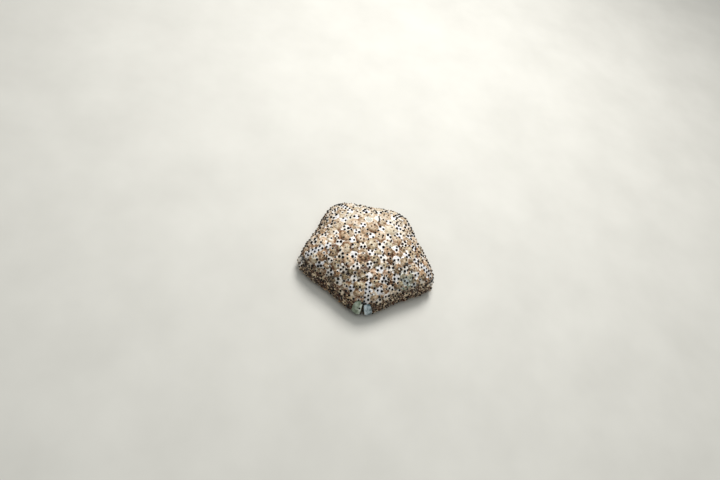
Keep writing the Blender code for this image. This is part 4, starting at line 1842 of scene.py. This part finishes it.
@dataclass
class TerminalPlates(Dressing):
    """The dark plate across the top of each arm tip's slit."""

    over_slit: float = 0.0012
    half_size: tuple[float, float, float] = (0.0045, 0.0016, 0.0020)
    stand: float = 0.0008
    roughness: float = 0.00022
    finish: GrainFinish = GrainFinish(
        "dark_plate", ((0.0, (10, 12, 12)), (0.6, (20, 21, 20)), (1.0, (58, 56, 50))), 0.42, 0.25)

    def build(self) -> None:
        """Makes one plate for each arm."""
        material = self.finish.make()
        for arm in Arm:
            self.plate(arm, material)

    def plate(self, arm: Arm, finish: bpy.types.Material) -> None:
        """One arm's plate: a low saddle with a notch in its lower edge.

        Args:
            arm: whose it is.
            finish: its material.
        """
        form = self.form
        slopes, _, line = form.meridian(arm.angle)
        top = self.surface.furrow_top if arm is Arm.FRONT else self.surface.side_furrow_top
        slope = float(np.interp(-top - self.over_slit, -line[:, 2], slopes))
        spot = Spots.on_dome(np.array([arm.angle]), np.array([slope]))
        place, out, across = form.points(spot)[0], form.normals(spot)[0], arm.across
        up = np.cross(out, across)
        points, faces = ball(22, 36)
        shaped = squared(points, 0.82)
        bend = 0.28 * shaped[:, 0] ** 2
        notch = 0.45 * np.exp(-((shaped[:, 0] / 0.20) ** 2)) * (shaped[:, 1] < 0)
        wide, high, deep = self.half_size
        placed = (across * (shaped[:, 0] * wide)[:, None]
                  + up * ((shaped[:, 1] * (1 - notch) - bend) * high)[:, None]
                  + out * (shaped[:, 2] * deep + self.stand)[:, None]) + place
        placed = placed + unit(placed - place) * (self.roughness * wavering(placed, 0.0009))[:, None]
        obj = self.shop.object_from(f"tip_plate_{arm.label}", placed, faces, finish)
        self.shop.number(obj.data, "tone", 0.35 + 0.3 * wavering(placed, 0.0012))
        self.shop.keep(obj, Slot.TERMINAL_PLATE, (f"terminal_plate_{arm.label}",))


@dataclass
class SievePlate(Dressing):
    """The round chalky plate off the middle, with fine winding grooves that run out from its centre."""

    radius: float = 0.0050
    height: float = 0.0021
    bed: float = 0.0004
    grooves: int = 26
    groove_depth: float = 0.00030
    winding: float = 1.5
    finish: GrainFinish = GrainFinish(
        "chalk_plate", ((0.0, (150, 140, 118)), (0.35, (206, 202, 190)), (1.0, (234, 236, 230))), 0.55, 0.1)

    def build(self) -> None:
        """Makes the plate."""
        spot = self.surface.net.sieve_spot()
        place, normal = self.form.points(spot)[0], self.form.normals(spot)[0]
        across = bearing(spot.angle + math.pi / 2)[0]
        up = np.cross(normal, across)
        points, faces = ball(64, 180)
        shaped = points.copy()
        shaped[:, 2] = np.where(points[:, 2] > 0, points[:, 2], points[:, 2] * 0.5)
        turn = np.arctan2(shaped[:, 1], shaped[:, 0])
        out = level_distance(shaped)
        rim = 1.0 + 0.05 * np.sin(turn * 3 + 0.4) + 0.03 * np.sin(turn * 7)
        wander = self.winding * wavering(shaped * self.radius, 0.0011)
        count = np.where(out > 0.52, self.grooves, self.grooves // 2)
        cut = (0.5 + 0.5 * np.sin(turn * count + wander * 2.2)) * smooth_step(0.10, 0.22, out)
        cut = cut * falling(0.90, 1.0, out) * (shaped[:, 2] > 0)
        lift = shaped[:, 2] * self.height + self.bed - cut * self.groove_depth
        placed = place + across * (shaped[:, 0] * self.radius * rim)[:, None] + \
            up * (shaped[:, 1] * self.radius * rim)[:, None] + normal * lift[:, None]
        obj = self.shop.object_from("sieve_plate", placed, faces, self.finish.make())
        # The tone drops in the grooves: painted shade in them.
        self.shop.number(obj.data, "tone", 0.85 - 0.75 * cut)
        self.shop.keep(obj, Slot.SIEVE_PLATE, ("madreporite",))


@dataclass
class Jaws(Dressing):
    """The five wedge-shaped jaws round the mouth, with their blunt spines."""

    tip: float = 0.0034
    length: float = 0.0088
    widths: tuple[float, float] = (0.0078, 0.0024)
    bottom: float = 0.0010
    height: float = 0.0052
    spine_pairs: int = 4
    seed: int = 8
    bone: GrainFinish = GrainFinish(
        "jaw_bone", ((0.0, (150, 120, 84)), (0.5, (204, 184, 150)), (1.0, (228, 216, 190))), 0.45, 0.25)
    spine: GrainFinish = GrainFinish(
        "mouth_spine", ((0.0, (166, 130, 88)), (0.5, (214, 190, 150)), (1.0, (238, 226, 200))), 0.42, 0.25)

    def build(self) -> None:
        """Makes the jaws and their spines."""
        bone, spine = self.bone.make(), self.spine.make()
        for jaw in JawPlace:
            self.jaw(jaw, bone)
        self.shop.scatter("mouth_spines", SPINE, self.spine_roots(), spine, Slot.JAWS, seed=6)

    def jaw(self, jaw: JawPlace, finish: bpy.types.Material) -> None:
        """One jaw: a rounded wedge that narrows to its tip, split by a shallow groove.

        Args:
            jaw: which one.
            finish: its material.
        """
        out, across = jaw.out, jaw.across
        points, faces = ball(30, 44)
        shaped = squared(points, 0.62)
        share = (shaped[:, 0] + 1) / 2
        wide = self.widths[1] + (self.widths[0] - self.widths[1]) * share**0.9
        groove = 0.0007 * np.exp(-((shaped[:, 1] / 0.18) ** 2)) * (shaped[:, 2] < 0)
        lumps = 0.00022 * wavering(shaped * 0.004, 0.0011)
        placed = out * (self.tip + share * self.length)[:, None]
        placed = placed + across * (shaped[:, 1] * wide / 2 + lumps)[:, None]
        placed = placed + UP * (self.bottom + (shaped[:, 2] + 1) / 2 * self.height + groove + lumps)[:, None]
        obj = self.shop.object_from(f"mouth_jaw_{jaw.label}", placed, faces, finish)
        # The tone drops along the groove: painted shade in it.
        self.shop.number(obj.data, "tone", 0.6 + 0.35 * wavering(placed, 0.0018) - groove * 500)
        self.shop.keep(obj, Slot.JAWS, (f"jaw_{jaw.label}",))

    def spine_roots(self) -> Roots:
        """A fringe of spines down both edges of every jaw, leaning in over the mouth.

        Returns:
            Their roots.
        """
        rng = np.random.default_rng(self.seed)
        place, lie, size = [], [], []
        for jaw in JawPlace:
            out, across = jaw.out, jaw.across
            for number in range(self.spine_pairs):
                share = number / (self.spine_pairs - 1)
                half = (self.widths[1] + (self.widths[0] - self.widths[1]) * share * 0.7) / 2 * 0.86
                for side in (-1, 1):
                    root = out * (self.tip + 0.0006 + share * self.length * 0.55) + across * side * half
                    place.append(root + UP * (self.bottom + 0.0011))
                    lie.append(across * side * (0.25 + 0.75 * share) - out * (1.2 - 0.8 * share) - UP * 0.32)
                    radius = 0.00062 - 0.00012 * share
                    size.append([radius, radius, 0.0030 - 0.0009 * share])
        place, lie, size = np.array(place), unit(np.array(lie)), np.array(size)
        return Roots(self.form.on_sole(place), place, lie, size, rng.uniform(0.2, 1.0, len(place)))


@dataclass
class Furrows(Dressing):
    """What fills and fringes the five furrows: a ladder of small bones, two rows of tube feet, and spines."""

    seed: int = 44
    start: float = 0.0135
    top_gap: float = 0.0040
    foot_pitch: float = 0.0023
    foot_offset: float = 0.0018
    foot_radius: float = 0.00078
    bone_pitch: float = 0.00165
    bone_radius: float = 0.00088
    spine_pitch: float = 0.0017
    spine_radius: float = 0.00048
    spine_length: float = 0.0025
    spine_sunk: float = 0.0003
    feeler_foot: float = 0.0022
    feeler_level: float = 0.0095
    feeler_length: float = 0.0058
    spine_rows: tuple[tuple[float, ...], ...] = ((0.0046, -1.7, 1.0, 1.0), (0.0064, 1.1, 0.72, 1.15))
    # Each run's darkest tone is painted shade, for the bones and feet up in the tips' slits.
    bone: GrainFinish = GrainFinish(
        "furrow_bone", ((0.0, (12, 16, 14)), (0.15, (150, 118, 80)), (1.0, (206, 180, 138))), 0.5, 0.2)
    foot: GrainFinish = GrainFinish(
        "tube_foot",
        ((0.0, (16, 20, 18)), (0.15, (196, 160, 112)), (0.5, (224, 200, 156)), (1.0, (238, 224, 190))),
        0.34, 0.4)
    spine: GrainFinish = GrainFinish(
        "furrow_spine", ((0.0, (158, 118, 80)), (0.5, (206, 176, 136)), (1.0, (236, 220, 190))), 0.42, 0.25)

    def path(self, arm: Arm, pitch: float, offset: float) -> Spots:
        """Evenly spaced places along an arm's furrow, out along the sole and up the tip.

        Args:
            arm: the arm.
            pitch: the spacing.
            offset: how far to one side of the furrow's middle they lie.

        Returns:
            The places.
        """
        form, out, across = self.form, arm.out, arm.across
        edge = float(form.reach(np.array([arm.angle]))[0]) - form.undercurl
        surface, bends = self.surface, float(arm is Arm.FRONT)
        distances = np.arange(self.start, edge, pitch)
        aside = offset + bends * surface.twist(distances, np.zeros_like(distances))
        sole = form.on_sole(out * distances[:, None] + across * aside[:, None])
        _, lengths, points = form.meridian(arm.angle)
        top = float(np.interp(-self.surface.furrow_top, -points[:, 2], lengths))
        steps = np.arange(lengths[-1], top, -pitch)[1:]
        risen = along(steps, lengths, points)
        aside = offset + bends * surface.twist(level_distance(risen), risen[:, 2])
        return Spots.joined([sole, form.located(risen + across * aside[:, None])])

    def floor_roots(self, pitch: float, offset: float, radius: float, length: float, splay: float,
                    rng: np.random.Generator, reaching: bool = False) -> Roots:
        """Roots on the furrows' floors, one row on each side of the middle.

        Args:
            pitch: the spacing along the furrow.
            offset: how far each row lies from the middle.
            radius: each piece's half width.
            length: each piece's length as a share of the furrow's depth.
            splay: how far each leans away from the middle.
            rng: the chance numbers.
            reaching: whether those at the foot of a tip are feelers that reach straight out, painted near
                black as shade filling the slit.

        Returns:
            The roots.
        """
        groups = []
        for arm in Arm:
            for side in (-1, 1):
                spots, across = self.path(arm, pitch, 0.0), arm.across
                ground, normal = self.surface.ground(spots), self.form.normals(spots)
                base, narrow = ground.base, 1.0 - 0.62 * ground.climb
                depth, _ = self.surface.furrow(ground)
                place = base - normal * (depth * 0.97)[:, None] + across * (side * offset * narrow)[:, None]
                lie = unit(normal + across * side * splay + rng.normal(0.0, 0.10, normal.shape))
                wide = radius * narrow * rng.uniform(0.88, 1.12, len(spots))
                high = depth * length * rng.uniform(0.80, 1.0, len(spots))
                keep = (ground.distance > self.start - 1e-4) & (base[:, 2] < ground.top - self.top_gap)
                # Tone 0 is near black: the pieces up in a tip's slit are painted shade.
                tone = rng.uniform(0.15, 1.0, len(spots)) * falling(0.001, 0.006, base[:, 2])
                if reaching:
                    level = place[:, 2]
                    tips = ~ground.sole & (level > self.feeler_foot) & (level < self.feeler_level)
                    lie = np.where(tips[:, None], unit(flattened(lie)), lie)
                    high = np.where(tips, self.feeler_length * rng.uniform(0.80, 1.0, len(spots)), high)
                    # The feelers take tone 0, painted shade in the slit.
                    tone = np.where(tips, 0.0, tone)
                groups.append(Roots(spots, place, lie, sized(wide, high), tone).pick(keep))
        return Roots.joined(groups)

    def fringe_roots(self, rng: np.random.Generator) -> Roots:
        """Two rows of spines on each bank: the inner one leans over the furrow, the outer one lies back.

        Args:
            rng: the chance numbers.

        Returns:
            Their roots.
        """
        groups = []
        for arm in Arm:
            for side in (-1, 1):
                for row, (off, over, share, stout) in enumerate(self.spine_rows):
                    spots = self.path(arm, self.spine_pitch * (1 + 0.25 * row), side * off)
                    place, normal = self.surface.seats(spots)
                    level = place[:, 2]
                    fields = self.surface.fields(spots)
                    keep = (fields.furrow < 0.6) & (level < np.where(fields.lip > 0.05, 0.003, 0.012))
                    keep &= level_distance(place) > self.start
                    lean = normal * 0.62 + arm.across * side * over * 0.62
                    lean = unit(lean + rng.normal(0.0, 0.10, normal.shape))
                    length = self.spine_length * share * rng.uniform(0.85, 1.1, len(spots))
                    wide = np.full(len(spots), self.spine_radius * stout)
                    tone = rng.uniform(0.1, 1.0, len(spots))
                    roots = Roots(spots, place - normal * self.spine_sunk, lean, sized(wide, length), tone)
                    groups.append(roots.pick(keep))
        return Roots.joined(groups)

    def build(self) -> None:
        """Makes the bones, the feet and the spines."""
        rng = np.random.default_rng(self.seed)
        bone, foot, spine = self.bone.make(), self.foot.make(), self.spine.make()
        bones = self.floor_roots(self.bone_pitch, 0.0007, self.bone_radius, 0.20, 0.1, rng)
        feet = self.floor_roots(self.foot_pitch, self.foot_offset, self.foot_radius, 0.86, 0.16, rng, True)
        ridges = tuple(f"ambulacrum_{arm.label}" for arm in Arm)
        self.shop.scatter("furrow_bones", OSSICLE, bones, bone, Slot.TUBE_FEET, ridges, seed=7)
        self.shop.scatter("tube_feet", FOOT, feet, foot, Slot.TUBE_FEET, seed=8)
        self.shop.scatter("furrow_spines", SPINE, self.fringe_roots(rng), spine, Slot.SKIN, seed=9)


@dataclass
class SoleGrains(Dressing):
    """The clusters of blunt grains that pave the sole's little plates."""

    seed: int = 55
    radius: float = 0.00062
    height: float = 0.00115
    outer: int = 5
    edge_share: float = 0.985
    mouth_clearance: float = 0.014
    furrow_clearance: float = 0.0072
    finish: GrainFinish = GrainFinish(
        "sole_grain", ((0.0, (150, 112, 74)), (0.4, (204, 178, 140)), (1.0, (236, 226, 204))), 0.45, 0.2)

    def build(self) -> None:
        """Makes the grains."""
        rng = np.random.default_rng(self.seed)
        cells = self.surface.sole_cells
        turn = rng.uniform(0, FULL_TURN, len(cells))[:, None] + np.arange(self.outer) * FULL_TURN / self.outer
        reach = self.surface.sole_cell * 0.30 * rng.uniform(0.8, 1.15, turn.shape)
        ring = cells[:, None] + np.stack([np.cos(turn) * reach, np.sin(turn) * reach], -1)
        flat = flattened(np.concatenate([cells, ring.reshape(-1, 2)]))
        form = self.form
        edge = form.reach(bearing_of(flat)) - form.undercurl
        flat = flat[level_distance(flat) < edge * self.edge_share]
        spots = form.on_sole(flat)
        fields = self.surface.fields(spots)
        ground = self.surface.ground(spots)
        keep = (ground.distance > self.mouth_clearance) & (np.abs(ground.across) > self.furrow_clearance)
        keep &= fields.furrow < 0.02
        spots = spots.pick(keep)
        place, normal = self.surface.seats(spots)
        radius = self.radius * rng.uniform(0.7, 1.25, len(spots))
        size = sized(radius, self.height * rng.uniform(0.8, 1.1, len(spots)))
        tone = np.clip(rng.normal(0.55, 0.25, len(spots)), 0, 1)
        roots = Roots(spots, place - normal * 0.0002, normal, size, tone)
        self.shop.scatter("sole_grains", GRAIN, roots, self.finish.make(), Slot.SKIN, seed=10)


@dataclass(frozen=True)
class Studio:
    """The floor, the lights and the camera."""

    middle: Array
    distance: float = 0.8615
    elevation: float = math.radians(56.8)
    azimuth: float = math.radians(15.5)
    roll: float = math.radians(22.1)
    drop: float = math.radians(2.0147)
    aside: float = math.radians(0.2967)
    lens: float = 28.0
    sensor: float = 36.0
    floor_size: float = 6.0

    def build(self) -> None:
        """Makes all three."""
        self.floor()
        self.lights()
        self.camera()

    def floor(self) -> None:
        """Lays the plain pale floor."""
        half = self.floor_size / 2
        corners = [(-half, -half, 0), (half, -half, 0), (half, half, 0), (-half, half, 0)]
        mesh = bpy.data.meshes.new("floor")
        mesh.from_pydata(corners, [], [(0, 1, 2, 3)])
        shader = Shader("pale_floor")
        tone = shader.ramp(shader.noise(9.0, 3.0), ((0.3, (200, 198, 192)), (0.7, (208, 206, 200))))
        mesh.materials.append(shader.finish(Base_Color=tone, Roughness=0.8))
        stood("floor", mesh)

    def lamp(self, name: str, place: tuple[float, float, float], size: float, power: float,
             colour: tuple[float, float, float]) -> None:
        """Hangs a soft square lamp that looks at the star.

        Args:
            name: the lamp's name.
            place: where it hangs, from the disc's middle.
            size: its side.
            power: its power in watts.
            colour: its colour.
        """
        light = bpy.data.lights.new(name, "AREA")
        light.size, light.energy, light.color = size, power, colour
        obj = stood(name, light)
        obj.location = Vector(place) + Vector(self.middle)
        obj.rotation_euler = Vector(place).to_track_quat("Z", "Y").to_euler()

    def lights(self) -> None:
        """Sets the key above and behind, a broad soft lamp overhead, and an even sky."""
        self.lamp("key", (0.10, 0.80, 1.20), 0.6, 21.0, (1.0, 0.99, 0.965))
        self.lamp("overhead", (0.0, -0.1, 1.9), 1.8, 14.0, (0.97, 1.0, 0.98))
        world = bpy.data.worlds.new("even_sky")
        world.use_nodes = True
        background = world.node_tree.nodes["Background"]
        background.inputs["Color"].default_value = (0.97, 1.0, 0.98, 1.0)
        background.inputs["Strength"].default_value = 0.22
        bpy.context.scene.world = world
        bpy.context.scene.view_settings.view_transform = "Standard"

    def camera(self) -> None:
        """Stands the camera to look down at the front arm, a little from its left, turned on its axis."""
        data = bpy.data.cameras.new("view")
        data.lens, data.sensor_width, data.sensor_fit = self.lens, self.sensor, "HORIZONTAL"
        level, rise = math.cos(self.elevation), math.sin(self.elevation)
        way = Vector((-math.sin(self.azimuth) * level, -math.cos(self.azimuth) * level, rise))
        look = way.to_track_quat("Z", "Y").to_matrix()
        turned = look @ Matrix.Rotation(self.roll, 3, "Z") @ Matrix.Rotation(self.drop, 3, "X") \
            @ Matrix.Rotation(self.aside, 3, "Y")
        obj = stood("view", data)
        obj.matrix_world = Matrix.Translation(Vector(self.middle) + way * self.distance) @ turned.to_4x4()
        bpy.context.scene.camera = obj


def main() -> None:
    """Builds the star, piece by piece, and the studio round it."""
    logging.basicConfig(level=logging.INFO, format="%(name)s: %(message)s")
    noise.seed_set(DRIFT_SEED)  # the vector noise would otherwise start from the clock
    form = BodyForm()
    middle = form.middle()
    Studio(middle).build()
    net = Net(form)
    net.build()
    LOG.info("%d plates, %d bars, %d puffs", len(net.plates), len(net.bars), len(net.puffs))
    surface = Surface(form, net)
    shop = Workshop(Chart(form), middle)
    for kind in (Skin, Knobs, Grains, TerminalPlates, SievePlate, Jaws, Furrows, SoleGrains):
        kind(surface, shop).build()


if __name__ == "__main__":
    main()
